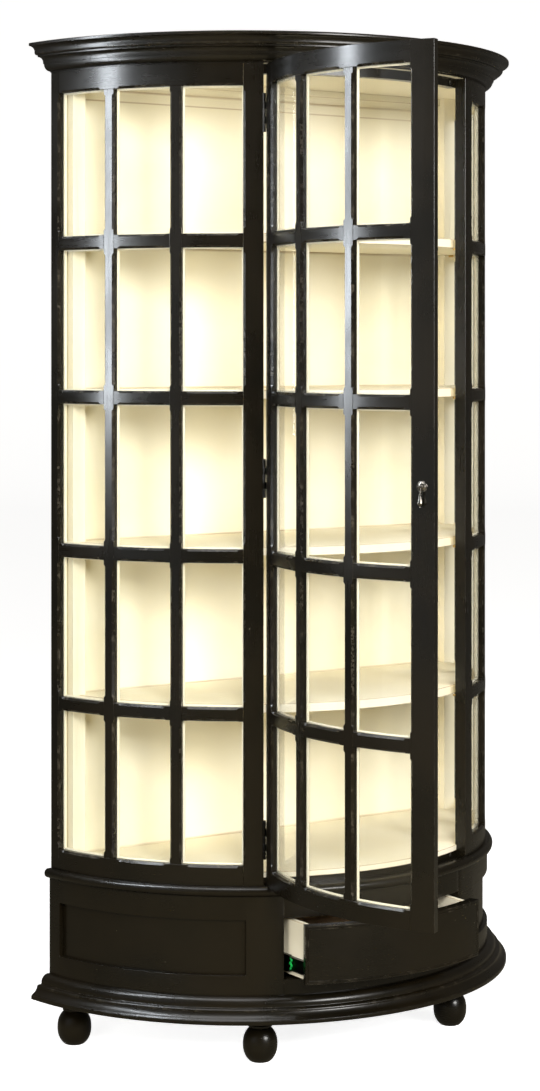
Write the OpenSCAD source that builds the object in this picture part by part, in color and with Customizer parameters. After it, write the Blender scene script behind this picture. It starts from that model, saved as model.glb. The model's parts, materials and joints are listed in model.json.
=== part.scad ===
// Bow-fronted display cabinet with a glazed door, glazed sides and a base drawer.
// Origin: floor level, middle of the flat back. +X to the viewer's right, front towards -Y, +Z up.
// Angles round the bow are measured from straight ahead (-Y), positive towards +X.

/* [Case] */
// Radius of the bowed front of the glazed case
case_r = 550; // [450:5:700]
// How far the centre of the bow lies behind the back
bow_back = 84; // [60:2:110]
// Height of the glazed case, waist board to cornice
case_h = 1696; // [1380:4:2100]
// Angle of the door opening round the bow
door_angle = 57.1; // [50:0.1:64]
// Thickness of the glazed side frames
frame_t = 24; // [20:1:30]
// Thickness of the back panels
back_t = 10; // [6:1:14]
// Side of the back corner posts
post_w = 30; // [24:1:40]

/* [Glazing] */
// Width of the side frames' stiles beside the door
jamb_stile_w = 42; // [36:1:52]
// Width of the side frames' stiles at the back
back_stile_w = 26; // [22:1:34]
// Width of the upright glazing bars
bar_w = 25; // [20:1:32]
// Height of the cross bars
cross_h = 28.6; // [22:0.2:34]
// Height of the bottom rail of the side frames
bottom_rail_h = 42; // [34:1:56]
// Height of the top rail of the side frames
top_rail_h = 46; // [38:1:60]
// How much taller the top row of lights is
top_light_extra = 8; // [0:1:30]
// Width of the glazing rebate
rebate_w = 6; // [5:0.5:8]
// Thickness of the glass
glass_t = 3; // [2:0.5:4]
// Width of the glazing beads
bead_w = 9; // [8:0.5:11]
// Depth of the bars in front of the glass on the side frames
face_depth = 14; // [10:1:16]
// Open joint line where two frame members or bars meet
joint_gap = 0.2; // [0.1:0.05:0.5]
// How far the tongues behind the joints are set in from the members' own faces
tongue_inset = 0.3; // [0.2:0.1:0.6]

/* [Door] */
// Thickness of the door
door_t = 20; // [18:1:24]
// Width of the door stiles
door_stile_w = 50; // [44:1:60]
// Depth of the bars in front of the glass on the door
door_face_depth = 12; // [10:1:14]
// Gap round the door
door_gap = 2; // [2:0.5:4]
// Gap under and over the door
door_lift = 4; // [3:0.5:6]
// Angle at which the door stands open
door_open = 86; // [0:1:100]
// Radius of the hinge knuckles
knuckle_r = 3.5; // [3:0.25:5]
// Radius of the hinge pins
hinge_pin_r = 1.5; // [1.2:0.1:2]
// Length of each hinge
hinge_h = 76; // [60:1:90]
// Running clearance round the hinge pins
pin_clear = 0.05; // [0.03:0.01:0.1]
// Thickness of the hinge leaves
leaf_t = 0.8; // [0.5:0.1:0.9]
// Radius of the pull's domed plate
pull_plate_r = 11; // [8:0.5:16]
// Height of the pull above the waist board
pull_h = 846; // [500:2:1100]

/* [Shelves] */
// Thickness of the shelves
shelf_t = 19; // [14:1:24]
// Set-back of the shelves behind the inside of the frames
shelf_setback = 14; // [8:1:30]
// Radius of the shelf pins
shelf_pin_r = 2.5; // [2:0.25:4]

/* [Base] */
// Height of the feet
foot_h = 96; // [80:1:120]
// Radius of the ball of each foot
foot_r = 36; // [28:1:44]
// Height of the base, feet to waist board
base_h = 254; // [220:2:320]
// How far the base stands out from the case
base_out = 4; // [2:0.5:8]
// Thickness of the base frames
base_t = 22; // [18:1:28]
// Thickness of the waist board
waist_t = 20; // [16:1:26]
// Thickness of the bottom board
bottom_t = 18; // [14:1:22]
// Height of the base moulding
base_mould_h = 50; // [44:1:60]
// How far the base moulding stands out from the case
base_mould_out = 47; // [42:1:56]
// Half the angle of the drawer opening
drawer_half = 24.2; // [20:0.1:25]
// Height of the drawer front
drawer_h = 120; // [90:1:140]
// Gap round the drawer front
drawer_gap = 3; // [2:0.5:5]
// Thickness of the drawer sides
drawer_side_t = 12; // [10:1:16]
// How far the drawer stands open
drawer_out = 73; // [0:1:180]
// Width of each drawer runner
runner_w = 12.7; // [11:0.1:14]
// Length of the drawer runners
runner_l = 350; // [250:5:380]

/* [Cornice] */
// Height of the cornice
cornice_h = 60; // [50:1:80]
// How far the cornice stands out from the case
cornice_out = 53; // [49:1:60]
// Thickness of the ceiling board
ceiling_t = 16; // [12:1:20]

/* [Hidden] */
$fn = 180;
BLACK = "#1b1a17";
CREAM = "#f0e2b4";

// Heights
base_z = foot_h + bottom_t;
waist_z = foot_h + base_h;
case_z = waist_z + waist_t;
case_top = case_z + case_h;
top_z = case_top + cornice_h;
light_z = case_z + bottom_rail_h;
light_h = (case_h - bottom_rail_h - top_rail_h - 4 * cross_h - top_light_extra) / 5;
function light_low(row) = light_z + row * (light_h + cross_h);
function light_high(row) = light_low(row) + light_h + (row == 4 ? top_light_extra : 0);

// Radii
frame_in = case_r - frame_t;
base_r = case_r + base_out;
base_in = base_r - base_t;
door_in = case_r - door_t;
shelf_r = frame_in - shelf_setback;
stop_r = door_in - 1;
stop_t = 22;

// Angles
function arc_deg(w) = w / case_r * 180 / PI;
jamb_a = door_angle / 2;
corner_a = acos(bow_back / case_r);
bar_a = arc_deg(bar_w);
side_first = jamb_a + arc_deg(jamb_stile_w);
side_last = corner_a - arc_deg(back_stile_w);
side_light_a = (side_last - side_first - 2 * bar_a) / 3;
door_edge_a = jamb_a - arc_deg(door_gap);
door_last = door_edge_a - arc_deg(door_stile_w);
door_light_a = (2 * door_last - 2 * bar_a) / 3;
foot_a = 29;
foot_ring = case_r * 0.93;

// Door and its hinges
door_z = case_z + door_lift;
door_top = case_top - door_lift + 1;
hinge_r = case_r + knuckle_r + 0.5;
hinge_a = jamb_a - arc_deg(door_gap / 2);
hinge_x = -hinge_r * sin(hinge_a);
hinge_y = bow_back - hinge_r * cos(hinge_a);
hinge_in = case_r - 18;
hinge_z = [case_z + 58, case_z + case_h / 2 - 46, case_top - 141];
knuckles = 5;
knuckle_gap = 0.3;
catch_a = door_edge_a - 3.2;
catch_r = 4.5;
catch_z = [case_z + 8, case_top - 11];

// Back and corner posts
post_x = sqrt(pow(frame_in, 2) - pow(bow_back + back_t + post_w, 2)) - post_w;
floor_t = 12;
sill_h = 13;
header_h = 20;
pin_in = 9;
pin_out = 13;

// Drawer
drawer_z = foot_h + 85;
drawer_case_t = 18;
drawer_edge_a = drawer_half - arc_deg(drawer_gap);
runner_x = base_in * sin(drawer_half);
drawer_x = runner_x - runner_w;
drawer_back_y = -55;
drawer_back_t = 12;
runner_z = drawer_z + 28;
runner_y = -38 - runner_l;
metal_t = 1.2;
outer_half = 20;
middle_half = 17.2;
inner_half = 14.2;
lever_y = runner_y + 43;

// ---------------------------------------------------------------- helpers
// Sweeps a profile (radius, height) round the bow from angle a1 to a2
module sweep(a1, a2)
  translate([0, bow_back, 0]) rotate([0, 0, a1 - 90]) rotate_extrude(angle = a2 - a1) children();

// Curved block between two radii, two heights and two angles
module block(r1, r2, z1, z2, a1, a2)
  sweep(a1, a2) translate([r1, z1]) square([r2 - r1, z2 - z1]);

// Keeps what lies in front of a plane parallel to the back
module cut_back(back = 0)
  difference() {
    children();
    translate([-2 * case_r, -back, -1]) cube([4 * case_r, 2 * case_r, top_z + 2]);
  }

// Board with a bowed front edge and a straight back edge
module bow_board(r, z, t, back = 0)
  cut_back(back) translate([0, bow_back, z]) cylinder(r = r, h = t);

// Places a child at a radius and an angle on the bow, its -Y pointing outwards
module on_bow(r, a, z) translate([r * sin(a), bow_back - r * cos(a), z]) rotate([0, 0, a]) children();

// Draws its children on both sides of the middle
module both_sides() {
  children();
  mirror([1, 0, 0]) children();
}

// Turns closed-door geometry to the angle at which the door stands
module hung()
  translate([hinge_x, hinge_y, 0]) rotate([0, 0, -door_open]) translate([-hinge_x, -hinge_y, 0]) children();

// Slides closed-drawer geometry out
module pulled(share = 1) translate([0, -drawer_out * share, 0]) children();

// ---------------------------------------------------------------- glazing
// Stile, rail or bar: a face in front of the glass and a narrower core behind it.
// rebate and tongue are flags for its low-angle, high-angle, low and high sides: a rebate holds glass, and a
// tongue reaches behind the face of the next member.
module member(a1, a2, z1, z2, r_in, depth, rebate, tongue = [0, 0, 0, 0]) {
  past = 1;
  lap = arc_deg(rebate_w);
  difference() {
    block(r_in, case_r, z1, z2, a1, a2);
    if (rebate[0] > 0) block(r_in - past, case_r - depth, z1 - past, z2 + past, a1 - past, a1 + lap);
    if (rebate[1] > 0) block(r_in - past, case_r - depth, z1 - past, z2 + past, a2 - lap, a2 + past);
    if (rebate[2] > 0) block(r_in - past, case_r - depth, z1 - past, z1 + rebate_w, a1 - past, a2 + past);
    if (rebate[3] > 0) block(r_in - past, case_r - depth, z2 - rebate_w, z2 + past, a1 - past, a2 + past);
  }
  if (max(tongue) > 0)
    block(r_in + tongue_inset, case_r - depth - joint_gap,
      z1 + rebate_w * rebate[2] + (tongue[2] > 0 ? -rebate_w : tongue_inset),
      z2 - rebate_w * rebate[3] - (tongue[3] > 0 ? -rebate_w : tongue_inset),
      a1 + lap * rebate[0] + (tongue[0] > 0 ? -lap : arc_deg(tongue_inset)),
      a2 - lap * rebate[1] - (tongue[1] > 0 ? -lap : arc_deg(tongue_inset)));
}

// Upright bar between the bottom and top rails
module upright(a1, z1, z2, r_in, depth)
  member(a1, a1 + bar_a, z1 + joint_gap, z2 - joint_gap, r_in, depth, [1, 1, 0, 0], [0, 0, 1, 1]);

// Cross bar between two uprights
module cross(a1, a2, z, r_in, depth)
  member(a1 + arc_deg(joint_gap), a2 - arc_deg(joint_gap), z, z + cross_h, r_in, depth,
    [0, 0, 1, 1], [1, 1, 0, 0]);

// All bars of a glazed section whose first light starts at angle a
module bars(a, light_a, r_in, depth) {
  for (i = [1:2])
    upright(a + i * light_a + (i - 1) * bar_a, light_z, light_high(4), r_in, depth);
  for (i = [0:2], row = [0:3]) {
    low = a + i * (light_a + bar_a);
    cross(low, low + light_a, light_high(row), r_in, depth);
  }
}

// One pane for every light
module panes(a, light_a, depth)
  for (i = [0:2], row = [0:4]) {
    low = a + i * (light_a + bar_a);
    lap = rebate_w - 1;
    block(case_r - depth - glass_t, case_r - depth, light_low(row) - lap, light_high(row) + lap,
      low - arc_deg(lap), low + light_a + arc_deg(lap));
  }

// One glazing bead frame behind every pane
module beads(a, light_a, r_in, depth)
  for (i = [0:2], row = [0:4]) {
    low = a + i * (light_a + bar_a);
    inner = bead_w - rebate_w;
    difference() {
      block(r_in, case_r - depth - glass_t, light_low(row) - rebate_w, light_high(row) + rebate_w,
        low - arc_deg(rebate_w), low + light_a + arc_deg(rebate_w));
      block(r_in - 1, case_r, light_low(row) + inner, light_high(row) - inner,
        low + arc_deg(inner), low + light_a - arc_deg(inner));
    }
  }

// Bottom and top rails between two stiles
module bottom_rail(a1, a2, z1, r_in, depth)
  member(a1 + arc_deg(joint_gap), a2 - arc_deg(joint_gap), z1, light_z, r_in, depth,
    [0, 0, 0, 1], [1, 1, 0, 0]);
module top_rail(a1, a2, z2, r_in, depth)
  member(a1 + arc_deg(joint_gap), a2 - arc_deg(joint_gap), light_high(4), z2, r_in, depth,
    [0, 0, 1, 0], [1, 1, 0, 0]);

// Side frame on the viewer's right: two stiles and two rails
module side_frame() {
  difference() {
    member(jamb_a, side_first, case_z, case_top, frame_in, face_depth, [0, 1, 0, 0]);
    for (z = shelf_pin_levels()) front_pin(z);
  }
  cut_back() member(side_last, corner_a + 3, case_z, case_top, frame_in, face_depth, [1, 0, 0, 0]);
  bottom_rail(side_first, side_last, case_z, frame_in, face_depth);
  top_rail(side_first, side_last, case_top, frame_in, face_depth);
}

module left_frame() color(BLACK) mirror([1, 0, 0]) side_frame();
module right_frame() color(BLACK) side_frame();
module right_bars() color(BLACK) bars(side_first, side_light_a, frame_in, face_depth);
module left_bars() color(BLACK) mirror([1, 0, 0]) bars(side_first, side_light_a, frame_in, face_depth);
module right_panes() color("lightblue", 0.3) panes(side_first, side_light_a, face_depth);
module left_panes() color("lightblue", 0.3) mirror([1, 0, 0]) panes(side_first, side_light_a, face_depth);
module glazing_beads() color(CREAM) both_sides() beads(side_first, side_light_a, frame_in, face_depth);

// ---------------------------------------------------------------- feet and base
module foot(x, y)
  color(BLACK) translate([x, y, 0]) rotate_extrude() intersection() {
    square([foot_r * 2, foot_h]);
    union() {
      translate([0, foot_r * 0.87]) circle(r = foot_r);
      square([foot_r * 0.55, foot_h]);
      translate([0, foot_r * 1.87 + 4]) square([foot_r * 0.66, 5]);
      translate([foot_r * 0.66, foot_r * 1.87 + 6.5]) circle(r = 2.5);
      translate([0, foot_h - 10]) square([foot_r * 0.75, 10]);
    }
  }

foot_back_x = case_r * 0.925;
foot_back_y = -foot_r - 4;
foot_front_x = foot_ring * sin(foot_a);
foot_front_y = bow_back - foot_ring * cos(foot_a);
module foot_back_left() foot(-foot_back_x, foot_back_y);
module foot_back_right() foot(foot_back_x, foot_back_y);
module foot_front_left() foot(-foot_front_x, foot_front_y);
module foot_front_right() foot(foot_front_x, foot_front_y);

module bottom_board() color(BLACK) bow_board(base_r, foot_h, bottom_t);

// Profile of the base moulding: lip, cove, bead and quarter round, from the foot up
base_round_r = 17;
base_cove_r = 24;
base_bead_r = 3;
base_step_z = 29;
base_lip_h = 7;
module base_profile() {
  lip = base_mould_out - base_out;
  step = lip - base_round_r;
  intersection() {
    square([lip, base_mould_h]);
    union() {
      translate([2, base_mould_h - base_round_r]) circle(r = base_round_r);
      square([base_round_r + 2, base_mould_h - base_round_r]);
      square([step, base_step_z]);
      translate([step, base_step_z - base_bead_r]) circle(r = base_bead_r);
      difference() {
        square([lip, base_step_z - base_bead_r]);
        translate([lip + 9, 32]) circle(r = base_cove_r);
      }
      square([lip, base_lip_h]);
    }
  }
}

module base_moulding()
  color(BLACK) cut_back() sweep(-corner_a - 8, corner_a + 8) translate([base_r, foot_h]) base_profile();

base_panel_z1 = drawer_z + 6;
base_panel_z2 = drawer_z + drawer_h;
base_stile_a = arc_deg(78);
base_end_a = arc_deg(33);
panel_groove = 8;
panel_t = 8;

// Base frame on the viewer's right with a grooved window for its panel
module base_frame() {
  low = drawer_half + base_stile_a;
  high = corner_a - base_end_a;
  difference() {
    cut_back() block(base_in, base_r, base_z, waist_z, drawer_half, corner_a + 4);
    block(base_in - 1, base_r + 1, base_panel_z1, base_panel_z2, low, high);
    block(base_in + 4, base_in + 4 + panel_t, base_panel_z1 - panel_groove, base_panel_z2 + panel_groove,
      low - arc_deg(panel_groove), high + arc_deg(panel_groove));
  }
}
module base_frame_right() color(BLACK) base_frame();
module base_frame_left() color(BLACK) mirror([1, 0, 0]) base_frame();
module base_panels()
  color(BLACK) both_sides()
    block(base_in + 4, base_in + 4 + panel_t, base_panel_z1 - panel_groove, base_panel_z2 + panel_groove,
      drawer_half + base_stile_a - arc_deg(panel_groove), corner_a - base_end_a + arc_deg(panel_groove));

base_back_x = sqrt(pow(base_in, 2) - pow(bow_back + back_t, 2));
module base_back()
  color(BLACK) translate([-base_back_x, -back_t, base_z]) cube([2 * base_back_x, back_t, waist_z - base_z]);

module drawer_rail_top()
  color(BLACK) block(base_in, base_r, drawer_z + drawer_h + drawer_gap, waist_z, -drawer_half, drawer_half);
module drawer_rail_bottom()
  color(BLACK) block(base_in, base_r, base_z, drawer_z - drawer_gap, -drawer_half, drawer_half);

drawer_case_y = bow_back - sqrt(pow(base_in, 2) - pow(runner_x + drawer_case_t, 2)) + 1;
module drawer_case_sides()
  color(BLACK) both_sides() translate([runner_x, drawer_case_y, base_z])
    cube([drawer_case_t, -back_t - drawer_case_y, waist_z - base_z]);

// ---------------------------------------------------------------- case
module waist_board()
  color(BLACK) cut_back() translate([0, bow_back, waist_z]) rotate_extrude() {
    square([case_r + 6, waist_t]);
    translate([case_r + 6, waist_t / 2]) circle(d = waist_t);
  }

module corner_cuts(clear)
  both_sides() translate([post_x - clear, -back_t - post_w - clear, 0]) cube([2 * case_r, case_r, top_z]);

module floor_board()
  color(CREAM) difference() {
    bow_board(stop_r, case_z + sill_h, floor_t, back_t);
    corner_cuts(0);
    // the floor lies between the side frames
    both_sides() block(frame_in, case_r, case_z, case_z + 100, jamb_a, corner_a + 8);
  }

module sill_rail()
  color(BLACK) difference() {
    block(stop_r - stop_t, stop_r, case_z, case_z + sill_h, -jamb_a, jamb_a);
    catch_magnet(catch_z[0], 2);
  }

module header_rail()
  color(BLACK) difference() {
    block(stop_r - stop_t, stop_r, case_top - header_h, case_top, -jamb_a, jamb_a);
    catch_magnet(catch_z[1], 2);
  }

module corner_posts()
  color(CREAM) both_sides() difference() {
    translate([post_x, -back_t - post_w, case_z]) cube([post_w, post_w, case_h]);
    for (z = shelf_pin_levels()) back_pin(z);
  }

back_x = sqrt(pow(frame_in, 2) - pow(bow_back + back_t, 2));
module back_panel() color(CREAM) translate([-back_x, -back_t, case_z]) cube([2 * back_x, back_t, case_h]);

// Small moulded rail along the top of the inside of the back
module back_cove()
  color(CREAM) translate([-post_x, -back_t, case_top - 30]) rotate([90, 0, 90]) linear_extrude(2 * post_x)
    difference() {
      translate([-12, 0]) square([12, 30]);
      translate([-12, 6]) circle(r = 9);
    }

module ceiling_board() color(CREAM) bow_board(case_r - 2, case_top, ceiling_t);
module top_board() color(BLACK) bow_board(case_r - 12, top_z - 16, 16);

// Profile of the cornice, measured out from the case. From the foot up: quarter round, fillet, cove, bead,
// cove, lip
cornice_in = 12;
cornice_round_r = 15;
cornice_cove_r = 12;
cornice_fillet_z = 21;
module cornice_profile() {
  lip_r = 3.5;
  shelf_z = cornice_fillet_z + cornice_cove_r - 2;
  difference() {
    union() {
      translate([-cornice_in, 0]) square([cornice_in + 2, cornice_round_r + 3]);
      translate([2, cornice_round_r + 2]) circle(r = cornice_round_r);
      translate([-cornice_in, cornice_round_r + 2]) square([cornice_in + 19, 4]);
      difference() {
        translate([-cornice_in, cornice_fillet_z - 1]) square([cornice_in + 31, cornice_cove_r]);
        translate([31, cornice_fillet_z - 2]) circle(r = cornice_cove_r);
      }
      translate([-cornice_in, shelf_z]) square([cornice_in + 32, 4]);
      translate([34, shelf_z + 9]) circle(r = 5.5);
      translate([-cornice_in, shelf_z + 3]) square([cornice_in + 34, 20]);
      translate([-cornice_in, shelf_z + 9]) square([cornice_in + 39.5, 8]);
      translate([-cornice_in, cornice_h - 14]) square([cornice_in + cornice_out - 3, 14]);
      translate([cornice_out - lip_r, cornice_h - lip_r]) circle(r = lip_r);
    }
    translate([cornice_out + 2, 43]) circle(r = 10);
    translate([-cornice_in - 1, -1]) square([2, cornice_h + 2]);
    translate([-cornice_in, -1]) square([cornice_in - 2, ceiling_t + 5]);
  }
}

module cornice()
  color(BLACK) cut_back() sweep(-corner_a - 9, corner_a + 9) translate([case_r, case_top]) cornice_profile();

// ---------------------------------------------------------------- shelves
function shelf_top(i) = light_high(i) + cross_h + 2;
function shelf_pin_levels() = [for (i = [0:3]) shelf_top(i) - shelf_t - shelf_pin_r];

module shelf(i)
  color(CREAM) difference() {
    bow_board(shelf_r, shelf_top(i) - shelf_t, shelf_t, back_t + 1);
    corner_cuts(1);
  }
module shelf_1() shelf(0);
module shelf_2() shelf(1);
module shelf_3() shelf(2);
module shelf_4() shelf(3);

// Pins part-way into the corner posts and the stiles beside the door
module back_pin(z)
  translate([post_x + post_w / 2, -back_t - post_w + pin_in, z]) rotate([90, 0, 0])
    cylinder(r = shelf_pin_r, h = pin_in + pin_out);
module front_pin(z)
  on_bow(frame_in - pin_out, jamb_a + arc_deg(20), z) rotate([90, 0, 0])
    cylinder(r = shelf_pin_r, h = pin_in + pin_out);

module shelf_pins()
  color("gold") both_sides() for (z = shelf_pin_levels()) {
    back_pin(z);
    front_pin(z);
  }

// ---------------------------------------------------------------- door
module door_stile(side) {
  a1 = side < 0 ? -door_edge_a : door_last;
  rebate = side < 0 ? [0, 1, 0, 0] : [1, 0, 0, 0];
  member(a1, a1 + arc_deg(door_stile_w), door_z, door_top, door_in, door_face_depth, rebate);
}
module door_hinge_stile() color(BLACK) hung() door_stile(-1);
module door_free_stile() color(BLACK) hung() door_stile(1);
module door_bottom_rail()
  color(BLACK) hung()
    bottom_rail(-door_last, door_last, door_z, door_in, door_face_depth);
module door_top_rail()
  color(BLACK) hung()
    top_rail(-door_last, door_last, door_top, door_in, door_face_depth);
module door_bars() color(BLACK) hung() bars(-door_last, door_light_a, door_in, door_face_depth);
module door_panes() color("lightblue", 0.3) hung() panes(-door_last, door_light_a, door_face_depth);
module door_beads() color(CREAM) hung() beads(-door_last, door_light_a, door_in, door_face_depth);

// Knuckles of one hinge: even ones belong to the frame, odd ones to the door
module hinge_leaf(z, odd, bore) {
  step = hinge_h / knuckles;
  edge_a = odd == 0 ? -jamb_a : -door_edge_a - arc_deg(leaf_t);
  block(hinge_in, case_r + 0.2, z, z + hinge_h, edge_a, edge_a + arc_deg(leaf_t));
  for (i = [odd:2:knuckles - 1]) {
    low = z + i * step + knuckle_gap / 2;
    high = low + step - knuckle_gap;
    difference() {
      union() {
        translate([hinge_x, hinge_y, low]) cylinder(r = knuckle_r, h = high - low, $fn = 48);
        block(case_r - 1, hinge_r - hinge_pin_r - 0.5, low, high, edge_a, edge_a + arc_deg(leaf_t));
      }
      translate([hinge_x, hinge_y, z - 1]) cylinder(r = bore, h = hinge_h + 2, $fn = 48);
    }
  }
}
module hinge_frame_leaves()
  color("dimgray") for (z = hinge_z) hinge_leaf(z, 0, hinge_pin_r);
module hinge_door_leaves()
  color("dimgray") hung() for (z = hinge_z) hinge_leaf(z, 1, hinge_pin_r + pin_clear);

module hinge_pins()
  color("gray") for (z = hinge_z) translate([hinge_x, hinge_y, z - 2]) {
    cylinder(r = hinge_pin_r, h = hinge_h + 4, $fn = 48);
    for (end = [0, hinge_h + 2 + knuckle_gap])
      translate([0, 0, end]) cylinder(r = knuckle_r, h = 2 - knuckle_gap / 2, $fn = 48);
  }

// Round magnets let into the door's stops, one in the sill and one in the header
module catch_magnet(z, proud = 0)
  on_bow(stop_r - 8, catch_a, z) rotate([90, 0, 0]) cylinder(r = catch_r, h = 7.6 + proud, $fn = 48);
module catch_magnets() color("silver") for (z = catch_z) catch_magnet(z);
disc_r = 6;
disc_t = 0.7;
disc_clear = 0.06;
module catch_discs()
  color("silver") hung() for (z = catch_z)
    on_bow(door_in - disc_t - disc_clear, catch_a, z) rotate([90, 0, 0])
      cylinder(r = disc_r, h = disc_t, $fn = 48);

// Pull: a domed plate with a staple, and a bell-shaped drop that swings on it
pull_a = door_edge_a - arc_deg(door_stile_w / 2);
pull_z = case_z + pull_h;
staple_out = 9;
staple_r = 1.3;
drop_l = 40;
module at_pull() hung() on_bow(case_r, pull_a, pull_z) children();
module pull_plate()
  color("gray") at_pull() {
    rotate([90, 0, 0]) intersection() {
      translate([0, 0, 4 - 18]) sphere(r = 18, $fn = 64);
      cylinder(r = pull_plate_r, h = 5, $fn = 64);
    }
    for (x = [-5, 5]) translate([x - 1.2, -staple_out - 2, -2]) cube([2.4, staple_out + 1, 4]);
    translate([-6.2, -staple_out, 0]) rotate([0, 90, 0]) cylinder(r = staple_r, h = 12.4, $fn = 32);
  }
module pull_drop()
  color("gray") at_pull() translate([0, -staple_out, 0]) difference() {
    union() {
      rotate([0, 90, 0]) translate([0, 0, -3.5]) cylinder(r = 3.4, h = 7, $fn = 48);
      translate([0, 0, -drop_l]) rotate_extrude($fn = 64) {
        translate([0, 4]) square([1.6, drop_l - 6]);
        translate([0, 7]) circle_half(6.5);
        translate([0, 6]) square([4.6, 12]);
        translate([0, 20]) circle_half(3.6);
        translate([0, 27]) circle_half(2.8);
      }
    }
    rotate([0, 90, 0]) translate([0, 0, -5]) cylinder(r = staple_r + 0.06, h = 10, $fn = 48);
  }
// Right half of a disc, for turned shapes
module circle_half(r) intersection() {
  circle(r = r);
  translate([0, -r]) square([r, 2 * r]);
}

// ---------------------------------------------------------------- drawer
drawer_top_z = drawer_z + drawer_h;
module drawer_front()
  color(BLACK) pulled() block(base_in, base_r, drawer_z, drawer_top_z, -drawer_edge_a, drawer_edge_a);

// Keeps what lies behind the back of the closed drawer front
module behind_front() intersection() {
  children();
  translate([0, bow_back, drawer_z]) cylinder(r = base_in, h = drawer_h);
}
module drawer_sides()
  color(CREAM) pulled() both_sides() behind_front()
    translate([drawer_x - drawer_side_t, -case_r, drawer_z + 2])
      cube([drawer_side_t, case_r + drawer_back_y, drawer_h - 6]);
inner_x = drawer_x - drawer_side_t;
module drawer_bottom()
  color("#8a6b45") pulled() behind_front()
    translate([-inner_x, -case_r, drawer_z + 6]) cube([2 * inner_x, case_r + drawer_back_y, 6]);
module drawer_back()
  color("#8a6b45") pulled() translate([-inner_x, drawer_back_y - drawer_back_t, drawer_z + 12])
    cube([2 * inner_x, drawer_back_t, drawer_h - 24]);

// Channel section of a runner: web at x, flanges from the web to x_end
module channel(x, x_end, half, y, l) {
  low = min(x, x_end);
  translate([x, y, runner_z - half]) cube([metal_t, l, 2 * half]);
  for (z = [-half, half - metal_t]) translate([low, y, runner_z + z]) cube([abs(x_end - x), l, metal_t]);
}
module runner_outer()
  color("#222222") both_sides()
    channel(runner_x - metal_t, runner_x - runner_w + 2.5, outer_half, runner_y, runner_l);
module runner_middle()
  color("#222222") pulled(0.5) both_sides()
    channel(runner_x - 2 * metal_t - 0.4, runner_x - runner_w + 3.3, middle_half, runner_y + 2, runner_l - 20);
module runner_inner()
  color("#222222") pulled() both_sides()
    channel(drawer_x, runner_x - 4.2, inner_half, runner_y - 12, runner_l - 10);

// Release lever: a thumb tab each side of a small pivot boss, in the inner member's channel
module lever(side) {
  pulled() translate([side * (drawer_x + 4.6), lever_y, runner_z]) {
    rotate([0, 90, 0]) translate([0, 0, -2]) cylinder(r = 3, h = 4, $fn = 32);
    translate([-1, -3, -10]) cube([2, 4, 20]);
    translate([-1, -8, 7]) cube([2, 6, 3]);
  }
}
module release_lever_left() color("green") lever(-1);
module release_lever_right() color("green") lever(1);

// ---------------------------------------------------------------- draw
foot_back_left();
foot_back_right();
foot_front_left();
foot_front_right();
bottom_board();
base_moulding();
base_frame_left();
base_frame_right();
base_panels();
base_back();
drawer_rail_top();
drawer_rail_bottom();
drawer_case_sides();
waist_board();
floor_board();
sill_rail();
corner_posts();
back_panel();
back_cove();
header_rail();
ceiling_board();
cornice();
top_board();
shelf_1();
shelf_2();
shelf_3();
shelf_4();
shelf_pins();
left_frame();
left_bars();
left_panes();
right_frame();
right_bars();
right_panes();
glazing_beads();
hinge_frame_leaves();
hinge_pins();
catch_magnets();
runner_outer();
door_hinge_stile();
door_free_stile();
door_top_rail();
door_bottom_rail();
door_bars();
door_panes();
door_beads();
hinge_door_leaves();
catch_discs();
pull_plate();
pull_drop();
drawer_front();
drawer_sides();
drawer_back();
drawer_bottom();
runner_inner();
runner_middle();
release_lever_left();
release_lever_right();
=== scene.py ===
"""Bow-fronted display cabinet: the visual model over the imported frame."""

import json
import math

import bmesh
import bpy
from bpy.props import FloatProperty, FloatVectorProperty, PointerProperty
from mathutils import Matrix, Vector


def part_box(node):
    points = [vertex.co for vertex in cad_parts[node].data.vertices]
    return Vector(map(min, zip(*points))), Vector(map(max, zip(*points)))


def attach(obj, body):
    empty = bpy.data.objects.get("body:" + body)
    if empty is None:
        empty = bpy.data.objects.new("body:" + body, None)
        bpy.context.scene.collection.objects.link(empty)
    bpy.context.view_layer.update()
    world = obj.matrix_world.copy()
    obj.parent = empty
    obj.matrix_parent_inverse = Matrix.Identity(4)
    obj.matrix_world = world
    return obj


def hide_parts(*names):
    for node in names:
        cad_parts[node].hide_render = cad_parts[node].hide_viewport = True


bl_info = {
    "name": "Bow-Fronted Display Cabinet",
    "version": (1, 0, 0),
    "blender": (4, 5, 0),
    "location": "View3D > Sidebar > Cabinet",
    "description": "Builds the visual pieces and finishes of a bow-fronted display cabinet",
    "category": "Object",
}

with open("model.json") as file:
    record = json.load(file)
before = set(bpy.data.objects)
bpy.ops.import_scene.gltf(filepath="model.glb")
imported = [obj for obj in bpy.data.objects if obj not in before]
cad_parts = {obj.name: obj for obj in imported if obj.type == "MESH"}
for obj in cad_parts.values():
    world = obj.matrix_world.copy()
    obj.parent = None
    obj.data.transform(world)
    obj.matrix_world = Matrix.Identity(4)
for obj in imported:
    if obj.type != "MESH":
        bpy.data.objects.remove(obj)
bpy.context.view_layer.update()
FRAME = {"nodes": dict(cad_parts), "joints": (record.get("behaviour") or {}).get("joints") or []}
JOINTS = {j["name"]: j for j in FRAME["joints"]}

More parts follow.
